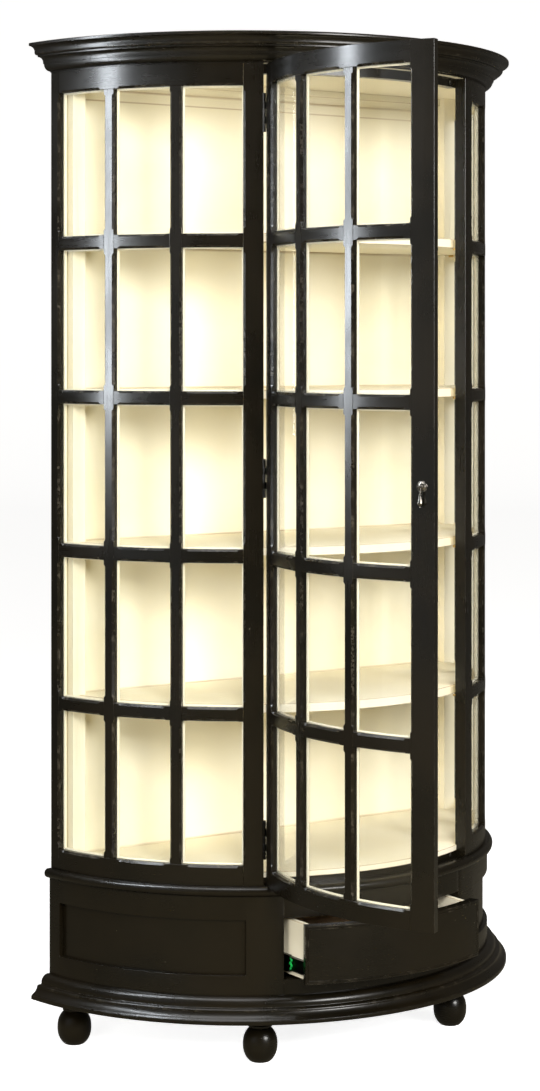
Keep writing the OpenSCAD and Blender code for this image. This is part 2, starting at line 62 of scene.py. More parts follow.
# ---------------------------------------------------------------- sizes shared with the CAD source, in metres
MM = 0.001
BOW_R = 0.550  # front of the case
BASE_R = 0.554  # front of the base
BASE_IN = 0.532  # inner side of the drawer front
BOW_Y = 0.084  # how far the bow's centre lies behind the flat back
JAMB_A = math.radians(28.55)  # half of the doorway
DRAWER_A = math.radians(24.2)  # half of the drawer's opening
CORNER_A = math.acos(BOW_Y / BOW_R)
CASE_LOW, CASE_TOP = (corner.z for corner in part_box("left_frame"))
DOOR_LOW, DOOR_TOP = (corner.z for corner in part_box("door_free_stile"))
FOOT_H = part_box("bottom_board")[0].z
BAR_W, CROSS_H = 0.025, 0.0286
BOTTOM_RAIL, TOP_RAIL, TOP_EXTRA = 0.042, 0.046, 0.008
BACK_STILE, JAMB_STILE, DOOR_STILE = 0.026, 0.042, 0.050
FRAME_FACE, FRAME_T = 0.014, 0.024
DOOR_FACE, DOOR_T, DOOR_GAP = 0.012, 0.020, 0.002
REBATE, BEAD_W, GLASS_T, JOINT_GAP = 0.006, 0.009, 0.003, 0.0002
COLUMNS, ROWS = 3, 5
LIGHT_LOW = CASE_LOW + BOTTOM_RAIL
LIGHT_H = (CASE_TOP - LIGHT_LOW - TOP_RAIL - (ROWS - 1) * CROSS_H - TOP_EXTRA) / ROWS
BACK_S, JAMB_S = CORNER_A * BOW_R, JAMB_A * BOW_R
DOOR_S = JAMB_S - DOOR_GAP

# ---------------------------------------------------------------- fine detail of the visual pieces, in metres
CHAMFER_RUN = 0.005  # length over which a stopped chamfer fades out
ARRIS = 0.0004  # easing of members where they have no chamfer
WINDOW_CHAMFER = 0.0052
BOW_STEP = 0.010  # longest facet along a bent member
SWEEP_STEPS = 120
SMALL_FACE = 2.6e-5  # faces of the mouldings' tight curves are smaller than this, in square metres
MOULDING_WEAR = 0.45


def light_row(row):
    """Lowest and highest edge of the lights in a row."""
    low = LIGHT_LOW + row * (LIGHT_H + CROSS_H)
    return low, low + LIGHT_H + (TOP_EXTRA if row == ROWS - 1 else 0)


LIGHT_ROWS = [light_row(row) for row in range(ROWS)]


class Section:
    """One glazed section of the bow: where its stiles and lights lie along the arc, and how thick it is."""

    def __init__(self, name, low, high, stile_low, stile_high, bottom, top, face, total, turn=None):
        self.name, self.low, self.high = name, low, high
        self.first, self.last = low + stile_low, high - stile_high
        self.bottom, self.top, self.face, self.total, self.turn = bottom, top, face, total, turn
        self.light = (self.last - self.first - (COLUMNS - 1) * BAR_W) / COLUMNS
        starts = [self.first + i * (self.light + BAR_W) for i in range(COLUMNS)]
        self.columns = [(start, start + self.light) for start in starts]


HINGE_AT = Vector(JOINTS["door_hinge"]["pos_m"])
DOOR_TURN = (
    Matrix.Translation(HINGE_AT)
    @ Matrix.Rotation(-math.radians(JOINTS["door_hinge"]["range_deg"][1]), 4, "Z")
    @ Matrix.Translation(-HINGE_AT)
)
LEFT = Section("left", -BACK_S, -JAMB_S, BACK_STILE, JAMB_STILE, CASE_LOW, CASE_TOP, FRAME_FACE, FRAME_T)
RIGHT = Section("right", JAMB_S, BACK_S, JAMB_STILE, BACK_STILE, CASE_LOW, CASE_TOP, FRAME_FACE, FRAME_T)
DOOR = Section(
    "door", -DOOR_S, DOOR_S, DOOR_STILE, DOOR_STILE, DOOR_LOW, DOOR_TOP, DOOR_FACE, DOOR_T, DOOR_TURN
)


# ---------------------------------------------------------------- properties
class CabinetSizes(bpy.types.PropertyGroup):
    """Sizes of the fine detail."""

    chamfer: FloatProperty(
        name="Bar chamfer", description="Width of the chamfers round lights", default=0.0044, unit="LENGTH"
    )
    chamfer_stop: FloatProperty(
        name="Chamfer stop", description="How far chamfers stop from corners", default=0.009, unit="LENGTH"
    )
    ease: FloatProperty(
        name="Eased edge", description="Width of the rubbed edge on boards", default=0.0011, unit="LENGTH"
    )
    screw_r: FloatProperty(
        name="Screw", description="Radius of the screws' heads", default=0.0032, unit="LENGTH"
    )
    rim: FloatProperty(
        name="Drawer rim", description="Distance of the rim from the edge", default=0.006, unit="LENGTH"
    )


class CabinetFinish(bpy.types.PropertyGroup):
    """Colours of the finishes."""

    lacquer: FloatVectorProperty(
        name="Lacquer", description="Black lacquer", default=(0.0034, 0.0028, 0.0015), subtype="COLOR"
    )
    worn: FloatVectorProperty(
        name="Rubbed wood", description="Wood at rubbed edges", default=(0.105, 0.088, 0.062), subtype="COLOR"
    )
    cream: FloatVectorProperty(
        name="Cream", description="Cream paint of the inside", default=(0.89, 0.832, 0.67), subtype="COLOR"
    )
    glaze: FloatVectorProperty(
        name="Glaze", description="Brown glaze left in joints", default=(0.36, 0.21, 0.075), subtype="COLOR"
    )
    ply: FloatVectorProperty(
        name="Drawer wood", description="Wood inside the drawer", default=(0.34, 0.215, 0.10), subtype="COLOR"
    )
    pewter: FloatVectorProperty(
        name="Pewter", description="Metal of the pull", default=(0.34, 0.315, 0.28), subtype="COLOR"
    )
    lever: FloatVectorProperty(
        name="Lever", description="Plastic of the release levers", default=(0.02, 0.62, 0.11), subtype="COLOR"
    )


# ---------------------------------------------------------------- nodes
def new_tree(kind, name, inputs, outputs):
    """Empty node group: inputs are (label, kind, value if it has one), outputs (label, kind)."""
    tree = bpy.data.node_groups.new(name, kind + "NodeTree")
    for label, socket_kind, *value in inputs:
        socket = tree.interface.new_socket(label, in_out="INPUT", socket_type="NodeSocket" + socket_kind)
        if value:
            socket.default_value = value[0]
    for label, socket_kind in outputs:
        tree.interface.new_socket(label, in_out="OUTPUT", socket_type="NodeSocket" + socket_kind)
    return tree, tree.nodes.new("NodeGroupInput"), tree.nodes.new("NodeGroupOutput")


def put(tree, kind, links=(), **settings):
    """A node with its settings and input links: links are (input, socket or value)."""
    node = tree.nodes.new(kind)
    for key, value in settings.items():
        setattr(node, key, value)
    for where, what in links:
        if isinstance(what, bpy.types.NodeSocket):
            tree.links.new(what, node.inputs[where])
        else:
            node.inputs[where].default_value = what
    return node


def math_node(tree, operation, a, b=0.0, clamp=False):
    return put(tree, "ShaderNodeMath", [(0, a), (1, b)], operation=operation, use_clamp=clamp).outputs[0]


def plus(tree, a, b):
    return math_node(tree, "ADD", a, b)


def times(tree, a, b, clamp=False):
    return math_node(tree, "MULTIPLY", a, b, clamp)


def ramp_node(tree, value, low, high, out_low=0.0, out_high=1.0):
    """Smooth ramp from one value to another, which stays level past both ends."""
    ends = [("From Min", low), ("From Max", high), ("To Min", out_low), ("To Max", out_high)]
    node = put(tree, "ShaderNodeMapRange", [("Value", value), *ends], interpolation_type="SMOOTHSTEP")
    return node.outputs["Result"]


def noise(tree, where, scale, detail, roughness=0.5):
    inputs = [("Vector", where), ("Scale", scale), ("Detail", detail), ("Roughness", roughness)]
    return put(tree, "ShaderNodeTexNoise", inputs).outputs["Fac"]


def attribute(tree, name):
    return put(tree, "ShaderNodeAttribute", attribute_name=name).outputs["Fac"]


def object_place(tree):
    return put(tree, "ShaderNodeTexCoord").outputs["Object"]


# ---------------------------------------------------------------- shader groups
def rubbed_group():
    """Rubbed-through edges, specks and a slow change of tone, as masks over Object coordinates."""
    g, gin, gout = new_tree(
        "Shader",
        "Rubbed edges",
        [("Edge amount", "Float", 0.6), ("Speck amount", "Float", 0.5), ("Scale", "Float", 1.0)],
        [("Worn", "Float"), ("Specks", "Float"), ("Cloud", "Float")],
    )
    inputs = [(0, object_place(g)), ("Scale", gin.outputs["Scale"])]
    where = put(g, "ShaderNodeVectorMath", inputs, operation="SCALE").outputs[0]
    scuffs = ramp_node(g, noise(g, where, 48.0, 5.0, 0.65), 0.46, 0.66)
    nicks = ramp_node(g, noise(g, where, 190.0, 2.0), 0.36, 0.56)
    worn = times(g, attribute(g, "edge"), times(g, scuffs, nicks))
    dots = put(g, "ShaderNodeTexVoronoi", [("Vector", where), ("Scale", 42.0), ("Randomness", 1.0)])
    chance = put(g, "ShaderNodeSeparateColor", [(0, dots.outputs["Color"])]).outputs
    near = math_node(g, "LESS_THAN", dots.outputs["Distance"], times(g, chance[0], 0.045))
    specks = times(g, near, math_node(g, "GREATER_THAN", chance[1], 0.80))
    g.links.new(times(g, worn, gin.outputs["Edge amount"], True), gout.inputs["Worn"])
    g.links.new(times(g, specks, gin.outputs["Speck amount"], True), gout.inputs["Specks"])
    g.links.new(ramp_node(g, noise(g, where, 4.5, 4.0, 0.55), 0.3, 0.7), gout.inputs["Cloud"])
    return g


def streak_group():
    """Fine streaks for brush marks and wood grain: level, or along Z where the upright attribute is 1."""
    g, gin, gout = new_tree(
        "Shader",
        "Streaks",
        [
            ("Level", "Vector", (0.05, 0.05, 1.0)),
            ("Upright", "Vector", (1.0, 1.0, 0.05)),
            ("Scale", "Float", 120.0),
        ],
        [("Streaks", "Float"), ("Fine", "Float")],
    )
    where = object_place(g)
    standing, first, second = 0, 4, 5  # the mix node's inputs for vectors
    ends = [(first, gin.outputs["Level"]), (second, gin.outputs["Upright"])]
    inputs = [(standing, attribute(g, "upright")), *ends]
    stretch = put(g, "ShaderNodeMix", inputs, data_type="VECTOR").outputs[1]
    drawn = put(g, "ShaderNodeVectorMath", [(0, where), (1, stretch)], operation="MULTIPLY").outputs[0]
    g.links.new(noise(g, drawn, gin.outputs["Scale"], 4.0, 0.6), gout.inputs["Streaks"])
    g.links.new(noise(g, where, 420.0, 2.0), gout.inputs["Fine"])
    return g


# ---------------------------------------------------------------- materials
FINISHES = {}


def new_material(name):
    """New material by name: its node tree and its Principled shader."""
    material = bpy.data.materials.new(name)
    material.use_nodes = True
    FINISHES[name] = material
    return material.node_tree, material.node_tree.nodes["Principled BSDF"]


def grouped(tree, group, **values):
    """A shader group's outputs, with its own values on the inputs."""
    node = tree.nodes.new("ShaderNodeGroup")
    node.node_tree = group
    for key, value in values.items():
        node.inputs[key.replace("_", " ")].default_value = value
    return node.outputs


def mixed(tree, factor, a, b):
    """Mix of two colours, each a socket or an RGB triple."""
    node = put(tree, "ShaderNodeMix", [("Factor", factor)], data_type="RGBA")
    colour_a, colour_b, result = 6, 7, 2  # the mix node's colour sockets
    for index, colour in ((colour_a, a), (colour_b, b)):
        if isinstance(colour, bpy.types.NodeSocket):
            tree.links.new(colour, node.inputs[index])
        else:
            node.inputs[index].default_value = (*colour, 1.0)
    return node.outputs[result]


def shaded(colour, *shares):
    """Colour times one share, or times a share for each channel."""
    return tuple(c * k for c, k in zip(colour, shares * 3))


def bumped(tree, shader, height, strength, distance):
    bump = put(tree, "ShaderNodeBump", [("Height", height), ("Strength", strength), ("Distance", distance)])
    tree.links.new(bump.outputs["Normal"], shader.inputs["Normal"])


def make_lacquer(finish, rubbed, streaky):
    """Black lacquer, rubbed along its edges."""
    t, p = new_material("black_lacquer")
    wear = grouped(t, rubbed, Edge_amount=0.36, Speck_amount=0.6, Scale=1.0)
    streak = grouped(t, streaky, Scale=110.0)
    base = mixed(t, wear["Cloud"], tuple(finish.lacquer), shaded(finish.lacquer, 1.9, 1.6, 1.2))
    base = mixed(t, wear["Worn"], base, tuple(finish.worn))
    base = mixed(t, wear["Specks"], base, (0.30, 0.26, 0.19))
    t.links.new(base, p.inputs["Base Color"])
    p.inputs["Specular IOR Level"].default_value = 0.42
    brushed = ramp_node(t, streak["Streaks"], 0.3, 0.7, -0.015, 0.02)
    rough = plus(t, ramp_node(t, wear["Cloud"], 0.0, 1.0, 0.24, 0.32), brushed)
    t.links.new(plus(t, rough, times(t, wear["Worn"], 0.25)), p.inputs["Roughness"])
    bumped(t, p, plus(t, streak["Streaks"], times(t, streak["Fine"], 0.5)), 0.05, 0.0006)


def make_cream(finish, rubbed, streaky):
    """Cream paint, with brown glaze left along joints and edges."""
    t, p = new_material("cream_paint")
    wear = grouped(t, rubbed, Edge_amount=1.0, Speck_amount=0.35, Scale=0.8)
    streak = grouped(t, streaky, Scale=70.0)
    cream, glaze = tuple(finish.cream), tuple(finish.glaze)
    base = mixed(t, wear["Cloud"], cream, shaded(cream, 0.965, 0.945, 0.87))
    line = plus(t, times(t, attribute(t, "edge"), 0.30), times(t, wear["Worn"], 0.15))
    base = mixed(t, line, base, glaze)
    left = times(t, attribute(t, "glaze"), ramp_node(t, streak["Streaks"], 0.25, 0.75, 0.35, 1.0))
    base = mixed(t, times(t, left, 0.85, True), base, glaze)
    base = mixed(t, wear["Specks"], base, (0.42, 0.28, 0.13))
    t.links.new(base, p.inputs["Base Color"])
    t.links.new(ramp_node(t, streak["Streaks"], 0.2, 0.8, 0.42, 0.56), p.inputs["Roughness"])
    bumped(t, p, streak["Streaks"], 0.12, 0.0005)


def make_ply(finish, streaky):
    """Plywood of the drawer's inside."""
    t, p = new_material("drawer_ply")
    streak = grouped(t, streaky, Scale=38.0, Level=(0.06, 1.0, 1.0))
    grain = ramp_node(t, streak["Streaks"], 0.3, 0.7)
    t.links.new(mixed(t, grain, shaded(finish.ply, 0.55), tuple(finish.ply)), p.inputs["Base Color"])
    t.links.new(ramp_node(t, streak["Fine"], 0.2, 0.8, 0.45, 0.62), p.inputs["Roughness"])
    bumped(t, p, streak["Streaks"], 0.2, 0.0005)


def make_glass():
    """Clear glass with a faint wave; lamps and soft light reach through it."""
    t, p = new_material("glass")
    p.inputs["Base Color"].default_value = (0.985, 0.995, 0.985, 1.0)
    p.inputs["Roughness"].default_value = 0.0
    p.inputs["IOR"].default_value = 1.46
    p.inputs["Transmission Weight"].default_value = 1.0
    bumped(t, p, noise(t, object_place(t), 6.0, 1.0), 0.006, 0.002)
    clear = put(t, "ShaderNodeBsdfTransparent", [("Color", (0.97, 0.98, 0.97, 1.0))])
    path = put(t, "ShaderNodeLightPath").outputs
    past = math_node(t, "MAXIMUM", path["Is Shadow Ray"], path["Is Diffuse Ray"])
    mix = put(t, "ShaderNodeMixShader", [(0, past), (1, p.outputs[0]), (2, clear.outputs[0])])
    t.links.new(mix.outputs[0], t.nodes["Material Output"].inputs["Surface"])


def make_small_finish(rubbed, streaky, name, colour, dark_share, smoothest, roughest, metallic):
    """Metal or plastic of a small part."""
    t, p = new_material(name)
    wear = grouped(t, rubbed, Edge_amount=0.5, Speck_amount=0.2, Scale=6.0)
    streak = grouped(t, streaky, Scale=260.0, Level=(1.0, 1.0, 0.3))
    t.links.new(mixed(t, wear["Cloud"], shaded(colour, dark_share), tuple(colour)), p.inputs["Base Color"])
    t.links.new(ramp_node(t, streak["Streaks"], 0.3, 0.7, smoothest, roughest), p.inputs["Roughness"])
    p.inputs["Metallic"].default_value = metallic
    bumped(t, p, streak["Streaks"], 0.08, 0.0002)


def make_paper(rubbed):
    """Studio paper: white to the camera, and dim to everything that it would light or be mirrored in."""
    t, p = new_material("studio_paper")
    wear = grouped(t, rubbed, Edge_amount=0.0, Speck_amount=0.0, Scale=0.5)
    seen = put(t, "ShaderNodeLightPath").outputs["Is Camera Ray"]
    white = mixed(t, wear["Cloud"], (0.93, 0.93, 0.925), (0.95, 0.95, 0.945))
    t.links.new(mixed(t, seen, (0.15, 0.128, 0.075), white), p.inputs["Base Color"])
    p.inputs["Roughness"].default_value = 0.9
    p.inputs["Specular IOR Level"].default_value = 0.1
    p.inputs["Emission Color"].default_value = (1.0, 1.0, 1.0, 1.0)
    t.links.new(ramp_node(t, seen, 0.0, 1.0, 0.06, 0.86), p.inputs["Emission Strength"])


class MakeFinishes(bpy.types.Operator):
    """Materials and the shader groups they share"""

    bl_idname = "cabinet.finishes"
    bl_label = "Finishes"

    def execute(self, context):
        finish = context.scene.cabinet_finish
        rubbed, streaky = rubbed_group(), streak_group()
        make_lacquer(finish, rubbed, streaky)
        make_cream(finish, rubbed, streaky)
        make_ply(finish, streaky)
        make_glass()
        for values in (
            ("hinge_metal", (0.045, 0.042, 0.038), 0.5, 0.32, 0.5, 1.0),
            ("runner_steel", (0.030, 0.030, 0.032), 0.6, 0.25, 0.42, 1.0),
            ("pewter", finish.pewter, 0.35, 0.18, 0.34, 1.0),
            ("catch_steel", (0.72, 0.71, 0.68), 0.7, 0.14, 0.30, 1.0),
            ("pin_brass", (0.72, 0.52, 0.22), 0.6, 0.22, 0.40, 1.0),
            ("lever_plastic", finish.lever, 0.6, 0.28, 0.42, 0.0),
            ("screw_steel", (0.30, 0.29, 0.27), 0.4, 0.25, 0.45, 1.0),
        ):
            make_small_finish(rubbed, streaky, *values)
        make_paper(rubbed)
        return {"FINISHED"}


# ---------------------------------------------------------------- mesh helpers
def empty_bmesh():
    bm = bmesh.new()
    for layer in ("edge", "glaze", "upright"):
        bm.loops.layers.float.new(layer)
    bm.faces.layers.int.new("inside")
    return bm


def plain_mesh(bm, name):
    mesh = bpy.data.meshes.new(name)
    bm.to_mesh(mesh)
    bm.free()
    return mesh


def shade(mesh, sharp=25.0):
    mesh.polygons.foreach_set("use_smooth", [True] * len(mesh.polygons))
    mesh.set_sharp_from_angle(angle=math.radians(sharp))


def new_object(name, data):
    obj = bpy.data.objects.new(name, data)
    bpy.context.scene.collection.objects.link(obj)
    return obj


def finished(name, mesh, body, slot, *nodes):
    """A finished piece on its body, standing for its CAD nodes."""
    obj = new_object(name, mesh)
    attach(obj, body)
    if nodes:
        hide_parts(*nodes)
    return obj


def finished_node(bm, node, body, slot, sharp=25.0):
    """A finished piece from a bmesh: faces turned outwards, shaded, and standing for one CAD node."""
    bmesh.ops.recalc_face_normals(bm, faces=bm.faces)
    mesh = plain_mesh(bm, node)
    mesh.materials.append(FINISHES[slot])
    shade(mesh, sharp)
    return finished(node + "_seen", mesh, body, slot, node)


def smooth(t):
    t = min(max(t, 0.0), 1.0)
    return t * t * (3 - 2 * t)


def bow_point(r, a, z):
    """Point at a radius and an angle round the bow's centre."""
    return Vector((r * math.sin(a), BOW_Y - r * math.cos(a), z))


def circle(r, z, count):
    """Points of a circle round Z."""
    turns = [2 * math.pi * k / count for k in range(count)]
    return [(r * math.cos(a), r * math.sin(a), z) for a in turns]


def ring_of(bm, points):
    return [bm.verts.new(p) for p in points]


def mark(face, layer, value):
    for loop in face.loops:
        loop[layer] = value


def skin(bm, a, b, tags=None, inside=(), standing=False):
    """Quads between two rings; tags gives each side's edge value, inside the sides that are cream."""
    edge, upright = (bm.loops.layers.float[name] for name in ("edge", "upright"))
    cream = bm.faces.layers.int["inside"]
    for i in range(len(a)):
        j = (i + 1) % len(a)
        face = bm.faces.new((a[i], a[j], b[j], b[i]))
        if tags:
            mark(face, edge, tags[i])
        if i in inside:
            face[cream] = 1
        if standing:
            mark(face, upright, 1.0)


def tube(bm, rings, tags=None, inside=(), standing=False):
    """Closed form skinned over rings of vertices, with both ends capped."""
    for a, b in zip(rings, rings[1:]):
        skin(bm, a, b, tags, inside, standing)
    bm.faces.new(rings[0])
    bm.faces.new(rings[-1])


def turned(outline, segments):
    """Closed lathe form round Z from (radius, height) points in millimetres, on the axis at both ends."""
    bm = empty_bmesh()
    rings = []
    for r, z in outline:
        points = circle(r * MM, z * MM, segments) if r else [(0, 0, z * MM)]
        rings.append(ring_of(bm, points))
    for a, b in zip(rings, rings[1:]):
        for k in range(segments):
            j = (k + 1) % segments
            if len(a) == 1:
                bm.faces.new((a[0], b[j], b[k]))
            elif len(b) == 1:
                bm.faces.new((a[k], a[j], b[0]))
            else:
                bm.faces.new((a[k], a[j], b[j], b[k]))
    return bm


def bulged(points, steps=7):
    """Outline in metres from (x, z, bulge) points in millimetres: a bulge makes the next side an arc."""
    out = []
    for i, (x, z, bulge) in enumerate(points):
        x1, z1, _ = points[(i + 1) % len(points)]
        out.append((x, z))
        if bulge:
            angle = 4 * math.atan(bulge)
            chord = math.hypot(x1 - x, z1 - z)
            r = chord / (2 * math.sin(angle / 2))
            d = r * math.cos(angle / 2)
            cx, cz = (x + x1) / 2 - (z1 - z) / chord * d, (z + z1) / 2 + (x1 - x) / chord * d
            start = math.atan2(z - cz, x - cx)
            for k in range(1, steps):
                a = start + angle * k / steps
                out.append((cx + abs(r) * math.cos(a), cz + abs(r) * math.sin(a)))
    return [(x * MM, z * MM) for x, z in out]


def swept_rings(bm, outline, radius, z0):
    """Rings of an outline swept round the bow; each point's sweep ends at the flat back."""
    rings = []
    for k in range(SWEEP_STEPS + 1):
        ring = []
        for out, z in outline:
            limit = math.acos(BOW_Y / (radius + out))
            ring.append(bow_point(radius + out, -limit + 2 * limit * k / SWEEP_STEPS, z0 + z))
        rings.append(ring_of(bm, ring))
    return rings


def eased(node, body, slot, width, sharp=24, wide=None, standing=False):
    """Copy of a CAD node with eased arrises, standing for that node; wide picks edges for a broad chamfer."""
    bm = bmesh.new()
    bm.from_mesh(FRAME["nodes"][node].data)
    bmesh.ops.remove_doubles(bm, verts=bm.verts, dist=1e-5)
    bmesh.ops.dissolve_limit(bm, angle_limit=math.radians(0.4), verts=bm.verts, edges=bm.edges)
    for face in bm.faces:
        face.material_index = 0
    if wide:
        chosen = [e for e in bm.edges if len(e.link_faces) == 2 and e.calc_face_angle() > 1 and wide(e)]
        how = {"segments": 3, "affect": "EDGES", "profile": 0.5, "clamp_overlap": True}
        bmesh.ops.bevel(bm, geom=chosen, offset=WINDOW_CHAMFER, **how)
    mesh = plain_mesh(bm, node)
    mesh.materials.append(FINISHES[slot])
    mesh.materials.append(FINISHES[slot])  # the second slot marks eased arrises, and goes away below
    work = new_object("work", mesh)
    bevel = work.modifiers.new("ease", "BEVEL")
    bevel.width = width
    bevel.segments = 2
    bevel.limit_method = "ANGLE"
    bevel.angle_limit = math.radians(32)
    bevel.material = 1
    bevel.use_clamp_overlap = True
    made = bpy.data.meshes.new_from_object(work.evaluated_get(bpy.context.evaluated_depsgraph_get()))
    bpy.data.objects.remove(work)
    values = [0.0] * len(made.loops)
    for poly in made.polygons:
        if poly.material_index == 1:
            for i in poly.loop_indices:
                values[i] = 1.0
            poly.material_index = 0
    layers = {"edge": values}
    if slot == "cream_paint":
        layers["glaze"] = [0.8 * v for v in values]
    if standing:
        layers["upright"] = [1.0] * len(values)
    for name, layer in layers.items():
        made.attributes.new(name, "FLOAT", "CORNER").data.foreach_set("value", layer)
    made.materials.pop(index=1)
    shade(made, sharp)
    return finished(node + "_seen", made, body, slot, node)


# ---------------------------------------------------------------- geometry node trees
def geometry_out(tree, gout, geometry, *materials):
    """Ends a tree: one Set Material for each (selection or None, material)."""
    for selection, material in materials:
        inputs = [("Geometry", geometry), ("Material", material)]
        if selection:
            inputs.append(("Selection", selection))
        geometry = put(tree, "GeometryNodeSetMaterial", inputs).outputs[0]
    tree.links.new(geometry, gout.inputs[0])


def named_attribute(tree, name, kind):
    return put(tree, "GeometryNodeInputNamedAttribute", [("Name", name)], data_type=kind).outputs["Attribute"]


def real_copies(tree, gin, *inputs):
    """The tree's Part at every point, as real geometry."""
    part = put(tree, "GeometryNodeObjectInfo", [("Object", gin.outputs["Part"]), ("As Instance", True)])
    links = [("Points", gin.outputs["Geometry"]), ("Instance", part.outputs["Geometry"]), *inputs]
    placed = put(tree, "GeometryNodeInstanceOnPoints", links).outputs[0]
    return put(tree, "GeometryNodeRealizeInstances", [("Geometry", placed)]).outputs[0]


def bow_tree():
    """Repeats a flat part at every point, stretches it to its light, and bends all of it round the bow."""
    t, gin, gout = new_tree(
        "Geometry",
        "Repeat round the bow",
        [
            ("Geometry", "Geometry"),
            ("Part", "Object"),
            ("Bow radius", "Float", BOW_R),
            ("Bow centre", "Float", BOW_Y),
            ("Outside", "Material"),
            ("Inside", "Material"),
        ],
        [("Geometry", "Geometry")],
    )
    stretch = named_attribute(t, "stretch", "FLOAT")
    scale = put(t, "ShaderNodeCombineXYZ", [("X", 1.0), ("Y", 1.0), ("Z", stretch)]).outputs[0]
    real = real_copies(t, gin, ("Scale", scale))
    place = put(t, "GeometryNodeInputPosition").outputs[0]
    flat = put(t, "ShaderNodeSeparateXYZ", [("Vector", place)]).outputs
    angle = math_node(t, "DIVIDE", flat["X"], gin.outputs["Bow radius"])
    radius = math_node(t, "SUBTRACT", gin.outputs["Bow radius"], flat["Y"])
    x = times(t, radius, math_node(t, "SINE", angle))
    y = math_node(t, "SUBTRACT", gin.outputs["Bow centre"], times(t, radius, math_node(t, "COSINE", angle)))
    bent = put(t, "ShaderNodeCombineXYZ", [("X", x), ("Y", y), ("Z", flat["Z"])]).outputs[0]
    moved = put(t, "GeometryNodeSetPosition", [("Geometry", real), ("Position", bent)]).outputs[0]
    inside = named_attribute(t, "inside", "INT")
    geometry_out(t, gout, moved, (None, gin.outputs["Outside"]), (inside, gin.outputs["Inside"]))
    return t


def place_tree():
    """Places a small part at every point, its Z along the point's facing."""
    t, gin, gout = new_tree(
        "Geometry",
        "Place on points",
        [("Geometry", "Geometry"), ("Part", "Object"), ("Size", "Float", 1.0), ("Finish", "Material")],
        [("Geometry", "Geometry")],
    )
    facing = named_attribute(t, "facing", "FLOAT_VECTOR")
    turn = put(t, "FunctionNodeAlignRotationToVector", [("Vector", facing)], axis="Z").outputs[0]
    real = real_copies(t, gin, ("Rotation", turn), ("Scale", gin.outputs["Size"]))
    geometry_out(t, gout, real, (None, gin.outputs["Finish"]))
    return t


TREES = {}


def through(make_tree, bm, points, attribute_name, kind, values, **inputs):
    """Repeats a source part at points by a geometry node tree, and returns the plain mesh that it makes."""
    if make_tree not in TREES:
        TREES[make_tree] = make_tree()
    tree = TREES[make_tree]
    bmesh.ops.recalc_face_normals(bm, faces=bm.faces)
    part = new_object("part", plain_mesh(bm, "part"))
    mesh = bpy.data.meshes.new("points")
    mesh.from_pydata(points, [], [])
    layer = mesh.attributes.new(attribute_name, kind, "POINT")
    for item, value in zip(layer.data, values):
        setattr(item, "value" if kind == "FLOAT" else "vector", value)
    obj = new_object("points", mesh)
    modifier = obj.modifiers.new("nodes", "NODES")
    modifier.node_group = tree
    sockets = [s for s in tree.interface.items_tree if s.item_type == "SOCKET" and s.in_out == "INPUT"]
    names = {s.name: s.identifier for s in sockets}
    modifier[names["Part"]] = part
    for label, slot in inputs.items():
        modifier[names[label]] = FINISHES[slot]
    obj.update_tag()
    bpy.context.view_layer.update()
    made = bpy.data.meshes.new_from_object(obj.evaluated_get(bpy.context.evaluated_depsgraph_get()))
    bpy.data.objects.remove(obj)
    bpy.data.objects.remove(part)
    return made


def placed(bm, points, facings, finish, sharp):
    """Copies of a small part at points, each facing its own way."""
    mesh = through(place_tree, bm, points, "facing", "FLOAT_VECTOR", facings, Finish=finish)
    shade(mesh, sharp)
    return mesh


def round_bow(bm, points, turn, outside="black_lacquer", inside="cream_paint", stretches=None):
    """Copies of a flat part bent round the bow; turn, if there is one, swings them open with the door."""
    stretches = stretches or [1.0] * len(points)
    made = through(bow_tree, bm, points, "stretch", "FLOAT", stretches, Outside=outside, Inside=inside)
    if turn is not None:
        made.transform(turn)
    for vertex in made.vertices:
        vertex.co.y = min(vertex.co.y, 0.0)  # nothing passes the cabinet's flat back
    shade(made)
    return made


def join_meshes(name, meshes):
    """One mesh from several that share their material lists."""
    bm = bmesh.new()
    for mesh in meshes:
        bm.from_mesh(mesh)
    made = plain_mesh(bm, name)
    for material in meshes[0].materials:
        made.materials.append(material)
    shade(made)
    return made


# ---------------------------------------------------------------- glazed sections
def upright_at(s, z):
    return lambda u, v, w: (s + v, w, z + u)


def cross_at(s, z):
    return lambda u, v, w: (s + u, w, z + v)


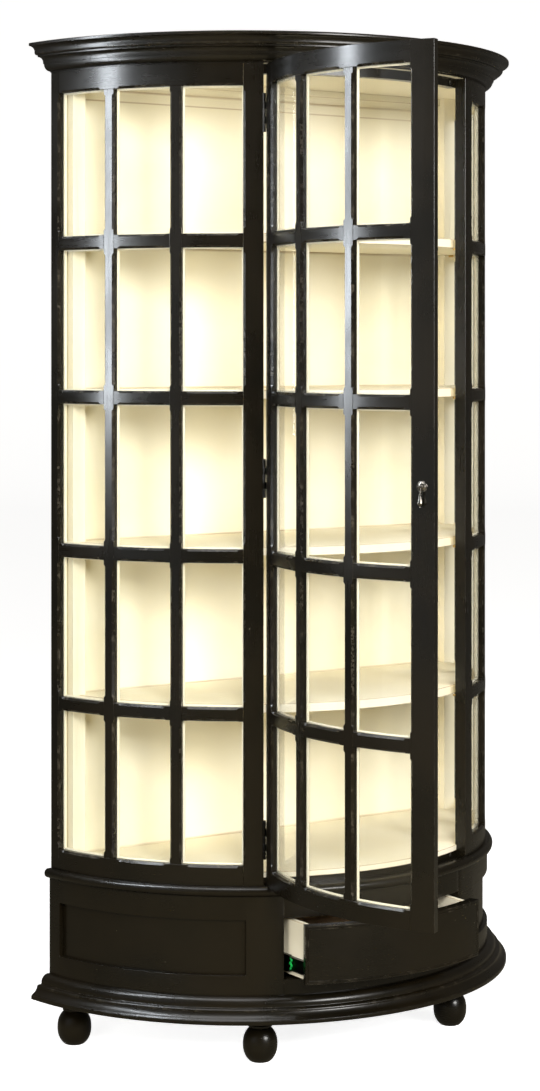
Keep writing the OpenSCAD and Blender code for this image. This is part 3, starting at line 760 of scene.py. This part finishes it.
def member(bm, section, sizes, at, length, width, rebates, spans, bends):
    """Stile, rail or bar with stopped chamfers, laid flat.

    at turns (along, across, depth) into a point. rebates and spans are for the low and the high side: the
    rebate's width, and the stretches of the length that border lights. bends says whether the length, rather
    than the width, follows the bow."""
    end_ease = 0.0005
    stop_steps = 4

    def chamfer(u, side):
        for u0, u1 in spans[side]:
            inward = min(u - u0 - sizes.chamfer_stop, u1 - sizes.chamfer_stop - u)
            if inward > 0:
                return ARRIS + (sizes.chamfer - ARRIS) * smooth(inward / CHAMFER_RUN)
        return ARRIS

    stations = {0.0, end_ease, length - end_ease, length}
    for u0, u1 in (*spans[0], *spans[1]):
        for k in range(stop_steps + 1):
            into = sizes.chamfer_stop + CHAMFER_RUN * k / stop_steps
            stations.update((u0 + into, u1 - into))
    if bends:
        steps = max(2, int(length / BOW_STEP))
        stations.update(length * k / steps for k in range(steps + 1))
    stations = sorted(s for s in stations if 0 <= s <= length)
    stations = [s for i, s in enumerate(stations) if i == 0 or s - stations[i - 1] > 1e-5]
    across = 1 if bends else max(2, int(width / BOW_STEP))
    low_rebate, high_rebate = rebates
    face, total = section.face, section.total
    rings = []
    for u in stations:
        c0, c1 = chamfer(u, 0), chamfer(u, 1)
        sink = ARRIS if u in (0.0, length) else 0.0
        outline = [(c0 + (width - c0 - c1) * k / across, sink) for k in range(across + 1)]
        outline.append((width, c1 + sink))
        tags = [0.0] * across + [1.0]
        if high_rebate:
            outline += [(width, face), (width - high_rebate, face)]
            tags += [0.0, 0.0]
        inside = range(len(outline), len(outline) + across)
        back = low_rebate + high_rebate - width
        outline += [(width - high_rebate + back * k / across, total) for k in range(across + 1)]
        tags += [0.0] * (across + 1)
        if low_rebate:
            outline += [(low_rebate, face), (0.0, face)]
            tags += [0.0, 0.0]
        outline.append((0.0, c0 + sink))
        tags += [0.0, 1.0]
        rings.append(ring_of(bm, [at(u, v, w) for v, w in outline]))
    tube(bm, rings, tags, inside, not bends)


def frame_mesh(section, sizes, pieces):
    """Stiles and rails of a section; pieces picks which of them."""
    beside = [(low - section.bottom, high - section.bottom) for low, high in LIGHT_ROWS]
    along = [(low - section.first, high - section.first) for low, high in section.columns]
    height, run = section.top - section.bottom, section.last - section.first - 2 * JOINT_GAP
    start, light_top = section.first + JOINT_GAP, LIGHT_ROWS[-1][1]
    stile_low, stile_high = upright_at(section.low, section.bottom), upright_at(section.last, section.bottom)
    rail_low, rail_high = cross_at(start, section.bottom), cross_at(start, light_top)
    low_edge, high_edge = (0, REBATE), (REBATE, 0)
    members = {
        "low_stile": (stile_low, height, section.first - section.low, low_edge, ((), beside), False),
        "high_stile": (stile_high, height, section.high - section.last, high_edge, (beside, ()), False),
        "bottom_rail": (rail_low, run, LIGHT_LOW - section.bottom, low_edge, ((), along), True),
        "top_rail": (rail_high, run, section.top - light_top, high_edge, (along, ()), True),
    }
    bm = empty_bmesh()
    for piece in pieces:
        member(bm, section, sizes, *members[piece])
    return round_bow(bm, [(0, 0, 0)], section.turn)


def bars_mesh(section, sizes):
    """Two uprights and twelve cross bars, repeated from one flat upright and one flat cross bar."""
    low, high = LIGHT_LOW + JOINT_GAP, LIGHT_ROWS[-1][1] - JOINT_GAP
    beside = [(a - low, b - low) for a, b in LIGHT_ROWS]
    run = section.light - 2 * JOINT_GAP
    whole = [(-JOINT_GAP, run + JOINT_GAP)]
    rebates = (REBATE, REBATE)
    upright, cross = empty_bmesh(), empty_bmesh()
    member(upright, section, sizes, upright_at(0, low), high - low, BAR_W, rebates, (beside, beside), False)
    member(cross, section, sizes, cross_at(JOINT_GAP, 0), run, CROSS_H, rebates, (whole, whole), True)
    standing = [(column[1], 0, 0) for column in section.columns[:-1]]
    lying = [(column[0], 0, row[1]) for row in LIGHT_ROWS[:-1] for column in section.columns]
    parts = [round_bow(upright, standing, section.turn), round_bow(cross, lying, section.turn)]
    return join_meshes(section.name + "_bars_seen", parts)


def in_lights(section, bm, finish):
    """A copy of a flat part in every light, stretched to the light's height."""
    points, stretches = [], []
    for low, high in LIGHT_ROWS:
        for a, b in section.columns:
            points.append(((a + b) / 2, 0, (low + high) / 2))
            stretches.append((high - low + 2 * REBATE) / (LIGHT_H + 2 * REBATE))
    return round_bow(bm, points, section.turn, finish, finish, stretches)


def beads_mesh(section):
    """Bead frames round the lights: a mitred band with an eased inner arris."""
    width, height = section.light + 2 * REBATE, LIGHT_H + 2 * REBATE
    front, back, ease, steps = section.face + GLASS_T, section.total, 0.0028, 12
    outline = [
        (0.0, front), (BEAD_W - 0.0002, front), (BEAD_W, front + 0.0002), (BEAD_W, back - ease),
        (BEAD_W - ease * 0.45, back - ease * 0.25), (BEAD_W - ease, back), (0.0, back),
    ]
    tags = [0.0, 0.0, 0.0, 1.0, 1.0, 0.0, 0.0]
    corners = [(-1, -1), (1, -1), (1, 1), (-1, 1)]
    bm = empty_bmesh()
    rings = []
    for (sx, sz), (nx, nz) in zip(corners, corners[1:] + corners[:1]):
        count = steps if sz == nz else 1
        for k in range(count):
            x, z = sx + (nx - sx) * k / count, sz + (nz - sz) * k / count
            rings.append(ring_of(bm, [(x * (width / 2 - o), d, z * (height / 2 - o)) for o, d in outline]))
    for a, b in zip(rings, rings[1:] + rings[:1]):
        skin(bm, a, b, tags)
    return in_lights(section, bm, "cream_paint")


def panes_mesh(section):
    """Panes of the lights, their edges hidden in the rebates."""
    lap, steps = REBATE - 0.001, 10
    width, z = section.light + 2 * lap, LIGHT_H / 2 + lap
    front, back = section.face, section.face + GLASS_T
    bm = empty_bmesh()
    rings = []
    for k in range(steps + 1):
        x = -width / 2 + width * k / steps
        rings.append(ring_of(bm, [(x, front, -z), (x, front, z), (x, back, z), (x, back, -z)]))
    tube(bm, rings)
    return in_lights(section, bm, "glass")


class MakeSideGlazing(bpy.types.Operator):
    """Frames, bars, beads and panes of the fixed left and right sections"""

    bl_idname = "cabinet.side_glazing"
    bl_label = "Side glazing"

    def execute(self, context):
        sizes = context.scene.cabinet_sizes
        beads = []
        for section in (LEFT, RIGHT):
            frame = frame_mesh(section, sizes, ("low_stile", "high_stile", "bottom_rail", "top_rail"))
            for part, mesh, slot in (
                ("_frame", frame, "black_lacquer"),
                ("_bars", bars_mesh(section, sizes), "black_lacquer"),
                ("_panes", panes_mesh(section), "glass"),
            ):
                node = section.name + part
                finished(node + "_seen", mesh, "cabinet", slot, node)
            beads.append(beads_mesh(section))
        finished("glazing_beads_seen", join_meshes("beads", beads), "cabinet", "cream_paint", "glazing_beads")
        return {"FINISHED"}


class MakeDoor(bpy.types.Operator):
    """Stiles, rails, bars, beads and panes of the door"""

    bl_idname = "cabinet.door"
    bl_label = "Door"

    def execute(self, context):
        sizes = context.scene.cabinet_sizes
        for node, mesh, slot in (
            ("door_hinge_stile", frame_mesh(DOOR, sizes, ("low_stile",)), "black_lacquer"),
            ("door_free_stile", frame_mesh(DOOR, sizes, ("high_stile",)), "black_lacquer"),
            ("door_bottom_rail", frame_mesh(DOOR, sizes, ("bottom_rail",)), "black_lacquer"),
            ("door_top_rail", frame_mesh(DOOR, sizes, ("top_rail",)), "black_lacquer"),
            ("door_bars", bars_mesh(DOOR, sizes), "black_lacquer"),
            ("door_panes", panes_mesh(DOOR), "glass"),
            ("door_beads", beads_mesh(DOOR), "cream_paint"),
        ):
            finished(node + "_seen", mesh, "door", slot, node)
        return {"FINISHED"}


# ---------------------------------------------------------------- mouldings and base
# (out, up, bulge) round each moulding, in millimetres from the bow and from its underside
CORNICE = [
    (-10, 0, 0), (2, 0, 0), (2, 2, 0.414), (17, 17, 0), (18.4, 17, 0.3), (19, 17.6, 0), (19, 20.4, -0.414),
    (30.4, 31, 0), (31.4, 31.3, 0.3), (32, 32, 0), (32, 34.4, 0), (34, 34.6, 0.4), (39.5, 40.5, 0),
    (39.5, 44.4, -0.3), (50.6, 53, 0), (52.2, 53.4, 0.3), (53, 54.6, 0), (53, 58.2, 0.3), (51.2, 60, 0),
    (-11, 60, 0), (-11, 21, 0), (-10, 20, 0),
]
BASE_MOULDING = [
    (0.2, 0, 0), (42, 0, 0.3), (43, 1, 0), (43, 7.8, 0.35), (41.6, 9.0, 0), (39.6, 11.2, -0.16),
    (29.4, 23.4, 0.3), (26.5, 29, 0), (20.2, 29.4, -0.3), (19.0, 31, 0), (19.0, 33, 0.414), (3, 50, 0),
    (0.2, 50, 0),
]


class MakeMouldings(bpy.types.Operator):
    """Cornice, base moulding and the waist board with its half-round edge"""

    bl_idname = "cabinet.mouldings"
    bl_label = "Mouldings"

    def execute(self, context):
        for node, outline, radius, z0 in (
            ("cornice", CORNICE, BOW_R, CASE_TOP),
            ("base_moulding", BASE_MOULDING, BASE_R, FOOT_H),
        ):
            bm = empty_bmesh()
            tube(bm, swept_rings(bm, bulged(outline), radius, z0))
            self.wear(finished_node(bm, node, "cabinet", "black_lacquer", 32).data)
        self.waist_board()
        return {"FINISHED"}

    @staticmethod
    def wear(mesh):
        """Marks only the tight curves as edges that get rubbed."""
        values = [0.0] * len(mesh.loops)
        for poly in mesh.polygons:
            if poly.area < SMALL_FACE:
                for i in poly.loop_indices:
                    values[i] = MOULDING_WEAR
        mesh.attributes["edge"].data.foreach_set("value", values)

    @staticmethod
    def waist_board():
        """Board with a flat back and a half-round along its bowed front."""
        low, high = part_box("waist_board")
        thick = high.z - low.z
        nose, steps, half_turn = 0.006, 14, math.radians(84)
        outline = [(0.0052, 0.0), (nose, 0.0006)]
        for k in range(steps + 1):
            a = -half_turn + 2 * half_turn * k / steps
            outline.append((nose + thick / 2 * math.cos(a), thick / 2 + thick / 2 * math.sin(a)))
        outline += [(nose, thick - 0.0006), (0.0052, thick)]
        bm = empty_bmesh()
        rings = swept_rings(bm, outline, BOW_R, low.z)
        for a, b in zip(rings, rings[1:]):
            for i in range(len(a) - 1):
                bm.faces.new((a[i], a[i + 1], b[i + 1], b[i]))
        bm.faces.new([ring[0] for ring in rings])
        bm.faces.new([ring[-1] for ring in rings])
        bm.faces.new(rings[0] + rings[-1][::-1])
        finished_node(bm, "waist_board", "cabinet", "black_lacquer", 32)


class MakeBase(bpy.types.Operator):
    """Feet, base frames, panels, rails and the drawer's case"""

    bl_idname = "cabinet.base"
    bl_label = "Base"

    def execute(self, context):
        ease = context.scene.cabinet_sizes.ease
        boards = ("base_back", "drawer_rail_top", "drawer_rail_bottom", "drawer_case_sides", "bottom_board")
        for node in ("base_panels", *boards):
            eased(node, "cabinet", "black_lacquer", ease)
        for side in ("left", "right"):
            eased("base_frame_" + side, "cabinet", "black_lacquer", ease, wide=self.at_window)
        self.feet()
        return {"FINISHED"}

    @staticmethod
    def at_window(edge):
        """Whether an edge is a front edge of a window in the base frames."""
        panel_low, panel_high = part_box("base_panels")
        margin = 0.002
        near, far = DRAWER_A * BASE_R + 0.060, CORNER_A * BASE_R - 0.020
        for c in (v.co for v in edge.verts):
            front = math.hypot(c.x, c.y - BOW_Y) > BASE_R - 0.003
            level = panel_low.z + margin < c.z < panel_high.z - margin
            if not (front and level and near < abs(math.atan2(c.x, BOW_Y - c.y)) * BASE_R < far):
                return False
        return True

    @staticmethod
    def feet():
        """Four turned ball feet with a ringed neck."""
        ball_r, ball_z, ball_half = 36, 36, 42
        heights = [1.2, *range(3, 71, 3)]
        ball = [(ball_r * math.sqrt(1 - abs((z - ball_z) / ball_half) ** 2.3), z) for z in heights]
        outline = [
            (0, 0), (18.2, 0), (19.6, 0.4), *ball, (21.6, 70.6), (22.6, 71.4), (24.0, 71.8), (25.0, 72.8),
            (25.0, 76.2), (24.0, 77.2), (22.0, 77.8), (21.4, 79), (21.4, 84.5), (22.4, 85.6), (26, 86.2),
            (27, 87.2), (27, 96), (0, 96),
        ]
        nodes = ["foot_" + place for place in ("back_left", "back_right", "front_left", "front_right")]
        centres = []
        for node in nodes:
            low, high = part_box(node)
            centres.append(((low.x + high.x) / 2, (low.y + high.y) / 2, 0))
        mesh = placed(turned(outline, 56), centres, [(0, 0, 1)] * len(nodes), "black_lacquer", 40)
        finished("feet_seen", mesh, "cabinet", "black_lacquer", *nodes)


# ---------------------------------------------------------------- inside
class MakeInside(bpy.types.Operator):
    """Cream inside: back, posts, cove, floor, ceiling and shelves, with glaze in the joints"""

    bl_idname = "cabinet.inside"
    bl_label = "Inside"

    def execute(self, context):
        ease = context.scene.cabinet_sizes.ease
        for node in ("shelf_1", "shelf_2", "shelf_3", "shelf_4", "floor_board", "ceiling_board"):
            eased(node, "cabinet", "cream_paint", ease)
        for node in ("corner_posts", "back_cove"):
            eased(node, "cabinet", "cream_paint", ease * 1.3, standing=node == "corner_posts")
        self.back_board()
        for node in ("sill_rail", "header_rail", "top_board"):
            eased(node, "cabinet", "black_lacquer", ease)
        return {"FINISHED"}

    @staticmethod
    def back_board():
        """Back panel as a grid whose glaze darkens along the posts, shelves, floor and ceiling."""
        low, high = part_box("back_panel")
        cove_low, cove_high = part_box("back_cove")
        width, cell = cove_high.x, 0.05
        # where glaze gathers, and how far it fades
        lines_x = [(-width, 0.006), (width, 0.006), (-width + 0.016, 0.0022), (width - 0.016, 0.0022)]
        lines_z = [(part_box("floor_board")[1].z, 0.006), (cove_low.z, 0.005), (cove_low.z - 0.024, 0.0022)]
        for i in range(1, 5):
            under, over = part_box(f"shelf_{i}")
            lines_z += [(under.z, 0.006), (over.z, 0.004)]

        def cuts(lines, start, end):
            values = {start, end}
            for at, fade in lines:
                values.update((at - fade, at - fade * 0.4, at, at + fade * 0.4, at + fade))
            count = int((end - start) / cell)
            values.update(start + (end - start) * k / count for k in range(count + 1))
            kept = sorted(v for v in values if start <= v <= end)
            return [v for i, v in enumerate(kept) if i == 0 or v - kept[i - 1] > 2e-4]

        def darkness(value, lines):
            return max(smooth(1 - abs(value - at) / fade) for at, fade in lines)

        bm = empty_bmesh()
        glaze = bm.loops.layers.float["glaze"]
        xs, zs = cuts(lines_x, low.x, high.x), cuts(lines_z, low.z, high.z)
        front, rear = ([[bm.verts.new((x, y, z)) for z in zs] for x in xs] for y in (low.y, high.y))
        for grid in (front, rear):
            for left, right in zip(grid, grid[1:]):
                for k in range(len(zs) - 1):
                    face = bm.faces.new((left[k], right[k], right[k + 1], left[k + 1]))
                    for loop in face.loops if grid is front else ():
                        co = loop.vert.co
                        loop[glaze] = max(darkness(co.x, lines_x), darkness(co.z, lines_z))
        for i in (0, -1):
            for k in range(len(zs) - 1):
                bm.faces.new((front[i][k], front[i][k + 1], rear[i][k + 1], rear[i][k]))
            for k in range(len(xs) - 1):
                bm.faces.new((front[k][i], front[k + 1][i], rear[k + 1][i], rear[k][i]))
        finished_node(bm, "back_panel", "cabinet", "cream_paint")


# ---------------------------------------------------------------- drawer
class MakeDrawer(bpy.types.Operator):
    """Drawer front with its scribed rim, sides, back, bottom, runners and levers"""

    bl_idname = "cabinet.drawer"
    bl_label = "Drawer"

    def execute(self, context):
        sizes = context.scene.cabinet_sizes
        self.front(sizes.rim)
        eased("drawer_sides", "drawer", "cream_paint", sizes.ease)
        for node in ("drawer_back", "drawer_bottom"):
            eased(node, "drawer", "drawer_ply", sizes.ease * 0.7)
        for part, body in (("outer", "cabinet"), ("middle", "slides"), ("inner", "drawer")):
            eased("runner_" + part, body, "runner_steel", 0.0003)
        for side in ("left", "right"):
            self.lever(side)
        return {"FINISHED"}

    @staticmethod
    def front(rim):
        """Bowed drawer front, its face stepped in a fine raised rim close to the edge."""
        low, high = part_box("drawer_front")
        pulled_out = Vector((0, low.y - (BOW_Y - BASE_R), 0))
        width, along = 2 * math.asin(high.x / BASE_R) * BASE_R, 44
        # distance in from the edge, how far the face is sunk there, and whether the step after it gets rubbed
        steps = [
            (0.0, BASE_R - BASE_IN, 0.0), (0.0, 0.0022, 1.0), (0.0007, 0.0008, 1.0), (0.0020, 0.0, 0.0),
            (rim - 0.0022, 0.0, 1.0), (rim - 0.0014, 0.0011, 0.0), (rim - 0.0004, 0.0011, 1.0),
            (rim + 0.0004, 0.0002, 1.0), (rim + 0.0016, 0.0002, 0.0), (rim + 0.0022, 0.0009, 0.0),
        ]
        bm = empty_bmesh()
        rings = []
        for inset, depth, _ in steps:
            reach = width / 2 - inset
            places = [-reach + 2 * reach * k / along for k in range(along + 1)]
            lower = [(s, low.z + inset) for s in places]
            upper = [(-s, high.z - inset) for s in places]
            r = BASE_R - depth
            rings.append(ring_of(bm, [bow_point(r, s / BASE_R, z) + pulled_out for s, z in lower + upper]))
        for a, b, step in zip(rings, rings[1:], steps):
            skin(bm, a, b, [step[2]] * len(a))
        for end in (rings[0], rings[-1]):
            for k in range(along):
                bm.faces.new((end[k], end[k + 1], end[2 * along - k], end[2 * along + 1 - k]))
        finished_node(bm, "drawer_front", "drawer", "black_lacquer", 20)

    @staticmethod
    def lever(side):
        """Wavy release lever: a bent strip on its pivot boss."""
        node = "release_lever_" + side
        low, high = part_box(node)
        mid = (low + high) / 2
        steps, tall, waves, wave, half_t = 40, 0.029, 2.5, 0.0019, 0.0012
        bm = empty_bmesh()
        rings = []
        for k in range(steps + 1):
            f = k / steps
            y = mid.y - 0.0012 + wave * math.sin(f * waves * 2 * math.pi)
            z = mid.z + tall * (f - 0.5)
            w = (high.x - low.x) / 2 * (0.95 - 0.3 * abs(f - 0.5))
            corners = ((-w, -half_t), (w, -half_t), (w, half_t), (-w, half_t))
            rings.append(ring_of(bm, [(mid.x + dx, y + dy, z) for dx, dy in corners]))
        tube(bm, rings)
        pivot = (mid.x, JOINTS["lever_" + side + "_press"]["pos_m"][1], mid.z)
        cross_disc(bm, 28, 0.0027, 0.0024, (high.x - low.x) * 0.98, pivot)
        finished_node(bm, node, "lever_" + side, "lever_plastic", 40)


# ---------------------------------------------------------------- metalwork
def cross_disc(bm, segments, radius_1, radius_2, width, centre=(0, 0, 0)):
    """Boss or eye that lies along X."""
    lying = Matrix.Translation(centre) @ Matrix.Rotation(math.pi / 2, 4, "Y")
    bmesh.ops.create_cone(
        bm, cap_ends=True, segments=segments, radius1=radius_1, radius2=radius_2, depth=width, matrix=lying
    )


def screw_head(radius):
    """Countersunk head with a cross recess, its face towards +Z."""
    count, top, floor = 24, 0.0004, -0.0003
    bm = empty_bmesh()
    rings = []
    for share, z in ((0.55, -0.0004), (1.0, 0.0002), (0.94, 0.00036), (0.55, top)):
        rings.append(ring_of(bm, circle(radius * share, z, count)))
    recess = []
    for k in range(count):
        a = 2 * math.pi * k / count
        arm = radius * 0.48 * max(abs(math.cos(2 * a)) ** 6, 0.32)
        recess.append((arm * math.cos(a), arm * math.sin(a)))
    rings.append(ring_of(bm, [(x, y, top) for x, y in recess]))
    rings.append(ring_of(bm, [(x * 0.7, y * 0.7, floor) for x, y in recess]))
    tube(bm, rings)
    return bm


def place_screws(name, body, points, facings, radius, slot):
    finished(name, placed(screw_head(radius), points, facings, "screw_steel", 30), body, slot)


def rod(bm, start, end, count, radius, segments):
    """Closed round rod between two points."""
    start, end = Vector(start), Vector(end)
    direction = (end - start).normalized()
    side = direction.orthogonal().normalized()
    other = direction.cross(side)
    rings = []
    for k in range(count):
        middle = start + (end - start) * k / (count - 1)
        rings.append(ring_of(bm, [middle + x * side + y * other for x, y, _ in circle(radius, 0, segments)]))
    tube(bm, rings)


def axes(x, y, z):
    """Rotation with these axes, x turned round if they would make a mirror image."""
    basis = Matrix((x, y, z)).transposed()
    if basis.determinant() < 0:
        basis = Matrix((-x, y, z)).transposed()
    return basis.to_4x4()


class MakeMetalwork(bpy.types.Operator):
    """Hinges and their screws, catches, shelf pins, and the pull"""

    bl_idname = "cabinet.metalwork"
    bl_label = "Metalwork"

    def execute(self, context):
        screw_r = context.scene.cabinet_sizes.screw_r
        for node, body, slot in (
            ("hinge_frame_leaves", "cabinet", "hinge_metal"),
            ("hinge_door_leaves", "door", "hinge_metal"),
            ("hinge_pins", "cabinet", "hinge_metal"),
            ("catch_magnets", "cabinet", "catch_steel"),
            ("catch_discs", "door", "catch_steel"),
            ("shelf_pins", "cabinet", "pin_brass"),
        ):
            eased(node, body, slot, 0.00018, sharp=30)
        self.hinge_screws(screw_r)
        self.back_screws(screw_r)
        self.pull()
        return {"FINISHED"}

    @staticmethod
    def hinge_screws(screw_r):
        """Four screws, not quite in line, in each leaf of the three hinges."""
        proud, first, pitch = 0.00046, 0.010, 0.0187
        hinges_low = (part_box("hinge_pins")[0].z + 0.002, 1.172, 1.925)
        radii = (0.540, 0.5455, 0.5375, 0.543)
        for body, angle, side, turn in (
            ("cabinet", -JAMB_S / BOW_R, 1, Matrix()),
            ("door", -DOOR_S / BOW_R, -1, DOOR_TURN),
        ):
            along = angle + side * proud / BOW_R
            facing = turn.to_3x3() @ (Vector((math.cos(angle), math.sin(angle), 0)) * side)
            points = []
            for z in hinges_low:
                points += [turn @ bow_point(r, along, z + first + pitch * k) for k, r in enumerate(radii)]
            place_screws(body + "_hinge_screws", body, points, [facing] * len(points), screw_r, "hinge_metal")

    @staticmethod
    def back_screws(screw_r):
        """Screws that hold the back panels, seen from behind."""
        points = []
        for node, count in (("back_panel", 9), ("base_back", 3)):
            low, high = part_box(node)
            x, y, first, last = high.x - 0.020, high.y + 0.0002, low.z + 0.06, high.z - 0.06
            for side in (-1, 1):
                points += [(side * x, y, first + (last - first) * k / (count - 1)) for k in range(count)]
        place_screws("back_screws", "cabinet", points, [(0, 1, 0)] * len(points), screw_r, "black_lacquer")

    @staticmethod
    def pull():
        """Domed plate with a rolled rim and staple, and a bell-shaped drop on it."""
        centre = Vector(JOINTS["drop_swing"]["pos_m"])
        along, up = -Vector(JOINTS["drop_swing"]["axis"]).normalized(), Vector((0, 0, 1))
        out = Vector((along.y, -along.x, 0)).normalized()
        if out.dot(Vector((-1, -0.5, 0))) < 0:
            out = -out
        plate = [
            (0, -0.4), (10.6, -0.4), (10.95, 0.0), (10.95, 0.5), (10.6, 1.1), (10.0, 1.35), (9.3, 1.2),
            (8.9, 0.95), (8.4, 1.25), (7.4, 2.2), (6.0, 3.05), (4.2, 3.7), (2.2, 4.0), (0, 4.1),
        ]
        bm = turned(plate, 48)
        for x in (-0.0050, 0.0050):
            rod(bm, (x, 0, 0.001), (x, 0, 0.0095), 15, 0.0012, 12)
        rod(bm, (-0.0061, 0, 0.009), (0.0061, 0, 0.009), 11, 0.0013, 16)
        bm.transform(Matrix.Translation(centre - out * 0.009) @ axes(along, up, out))
        finished_node(bm, "pull_plate", "door", "pewter", 38)
        drop = [
            (0, 0), (1.3, 0.3), (2.0, 1.3), (1.7, 2.5), (1.25, 3.1), (2.6, 3.7), (4.5, 5.0), (5.5, 7.0),
            (5.5, 9.2), (4.9, 12), (4.1, 15), (3.4, 18), (2.7, 21), (2.1, 23.3), (2.9, 24.0), (3.3, 25.0),
            (3.0, 26.1), (2.0, 26.9), (1.6, 27.8), (2.3, 28.8), (2.6, 29.8), (2.3, 30.8), (1.5, 31.7),
            (1.4, 36.8), (0, 37),
        ]
        hang = 40  # from the staple's bar down to the drop's tip
        bm = turned([(r, z - hang) for r, z in drop], 40)
        cross_disc(bm, 36, 0.0034, 0.0034, 0.0064)
        bm.transform(Matrix.Translation(centre) @ axes(along, -out, up))
        finished_node(bm, "pull_drop", "drop", "pewter", 38)


# ---------------------------------------------------------------- stage
def area_light(name, place, target, width, height, power, colour=(1, 1, 1)):
    data = bpy.data.lights.new(name, "AREA")
    data.shape = "RECTANGLE"
    data.size, data.size_y, data.energy, data.color = width, height, power, colour
    obj = new_object(name, data)
    obj.location = place
    obj.rotation_euler = (Vector(target) - Vector(place)).to_track_quat("-Z", "Y").to_euler()
    return obj


class MakeStage(bpy.types.Operator):
    """Pale floor and backdrop, soft studio lights and the camera"""

    bl_idname = "cabinet.stage"
    bl_label = "Stage"

    def execute(self, context):
        self.studio()
        self.lights()
        self.world(context.scene)
        self.camera(context.scene)
        return {"FINISHED"}

    @staticmethod
    def studio():
        """Round floor that bends up into a wall."""
        floor_r, bend, rise, around = 17.0, 3.0, 15.0, 96
        profile = [(floor_r * k / 4, 0.0) for k in range(1, 5)]
        for a in (math.radians(9 * k) for k in range(1, 11)):
            profile.append((floor_r + bend * math.sin(a), bend - bend * math.cos(a)))
        profile.append((floor_r + bend, rise))
        bm = bmesh.new()
        rings = [ring_of(bm, circle(r, z, around)) for r, z in profile]
        bm.faces.new(rings[0])
        for a, b in zip(rings, rings[1:]):
            for k in range(around):
                j = (k + 1) % around
                bm.faces.new((a[k], b[k], b[j], a[j]))
        mesh = plain_mesh(bm, "studio")
        mesh.materials.append(FINISHES["studio_paper"])
        mesh.polygons.foreach_set("use_smooth", [True] * len(mesh.polygons))
        new_object("studio", mesh)

    @staticmethod
    def lights():
        """Two keys, a fill, soft light from above and the left, and strips that only show as highlights."""
        daylight, sky = (1.0, 0.985, 0.96), (0.88, 0.94, 1.0)
        area_light("key_right", (0.6, -5.2, 2.4), (0, -0.2, 1.15), 1.7, 1.4, 185, daylight)
        for name, place, size, power in (
            ("key_left", (-2.3, -4.8, 2.9), 1.6, 300),
            ("left_fill", (-3.1, -2.3, 1.0), 1.2, 58),
        ):
            soft = area_light(name, place, (0, -0.2, 1.0), size, size, power, daylight)
            soft.visible_glossy = False
            soft.visible_transmission = False
        area_light("overhead", (-1.0, -1.3, 4.4), (0, -0.4, 0.8), 2.3, 2.0, 72)
        area_light("left_panel", (-3.6, -1.0, 1.5), (0, -0.5, 1.3), 2.2, 2.6, 5.5, (0.84, 0.92, 1.0))
        for name, place, target, width, height, power in (
            ("left_strip", (-1.541, -0.016, 2.30), (-0.42, -0.40, 2.30), 0.15, 2.1, 46),
            ("left_top", (-1.66, 0.10, 3.05), (-0.42, -0.40, 0.4), 0.45, 0.5, 15),
        ):
            strip = area_light(name, place, target, width, height, power, sky)
            strip.visible_diffuse = False

    @staticmethod
    def world(scene):
        """Faint warm light from all round, and plain colours."""
        world = bpy.data.worlds.new("studio_world")
        world.use_nodes = True
        background = world.node_tree.nodes["Background"]
        background.inputs["Color"].default_value = (1.0, 0.94, 0.84, 1.0)
        background.inputs["Strength"].default_value = 0.10
        scene.world = world
        scene.view_settings.view_transform = "Standard"
        scene.view_settings.look = "None"

    @staticmethod
    def camera(scene):
        """Level camera at chest height, to the left of the open door."""
        data = bpy.data.cameras.new("camera")
        data.sensor_fit = "AUTO"
        data.sensor_width = 36.0
        data.lens = 79.57
        data.shift_x, data.shift_y = 0.0055, -0.1786
        data.clip_end = 60
        camera = new_object("camera", data)
        camera.location = (-2.987, -4.551, 1.473)
        camera.rotation_euler = Vector((2.987, 4.551, 0)).to_track_quat("-Z", "Y").to_euler()
        scene.camera = camera


# ---------------------------------------------------------------- panel
class CABINET_PT_build(bpy.types.Panel):
    """Sizes, finishes and the steps that build the cabinet"""

    bl_label = "Display cabinet"
    bl_idname = "CABINET_PT_build"
    bl_space_type = "VIEW_3D"
    bl_region_type = "UI"
    bl_category = "Cabinet"

    def draw(self, context):
        for group in (context.scene.cabinet_sizes, context.scene.cabinet_finish):
            box = self.layout.box()
            for name in group.__annotations__:
                box.prop(group, name)
        for step in STEPS:
            self.layout.operator(step.bl_idname)


STEPS = (
    MakeFinishes, MakeSideGlazing, MakeDoor, MakeMouldings, MakeBase, MakeInside, MakeDrawer, MakeMetalwork,
    MakeStage,
)
CLASSES = (CabinetSizes, CabinetFinish, *STEPS, CABINET_PT_build)


def register():
    for cls in CLASSES:
        bpy.utils.register_class(cls)
    bpy.types.Scene.cabinet_sizes = PointerProperty(type=CabinetSizes)
    bpy.types.Scene.cabinet_finish = PointerProperty(type=CabinetFinish)


def unregister():
    del bpy.types.Scene.cabinet_sizes
    del bpy.types.Scene.cabinet_finish
    for cls in reversed(CLASSES):
        bpy.utils.unregister_class(cls)


def main():
    register()
    for step in STEPS:
        module, name = step.bl_idname.split(".")
        getattr(getattr(bpy.ops, module), name)()


if __name__ == "__main__":
    main()
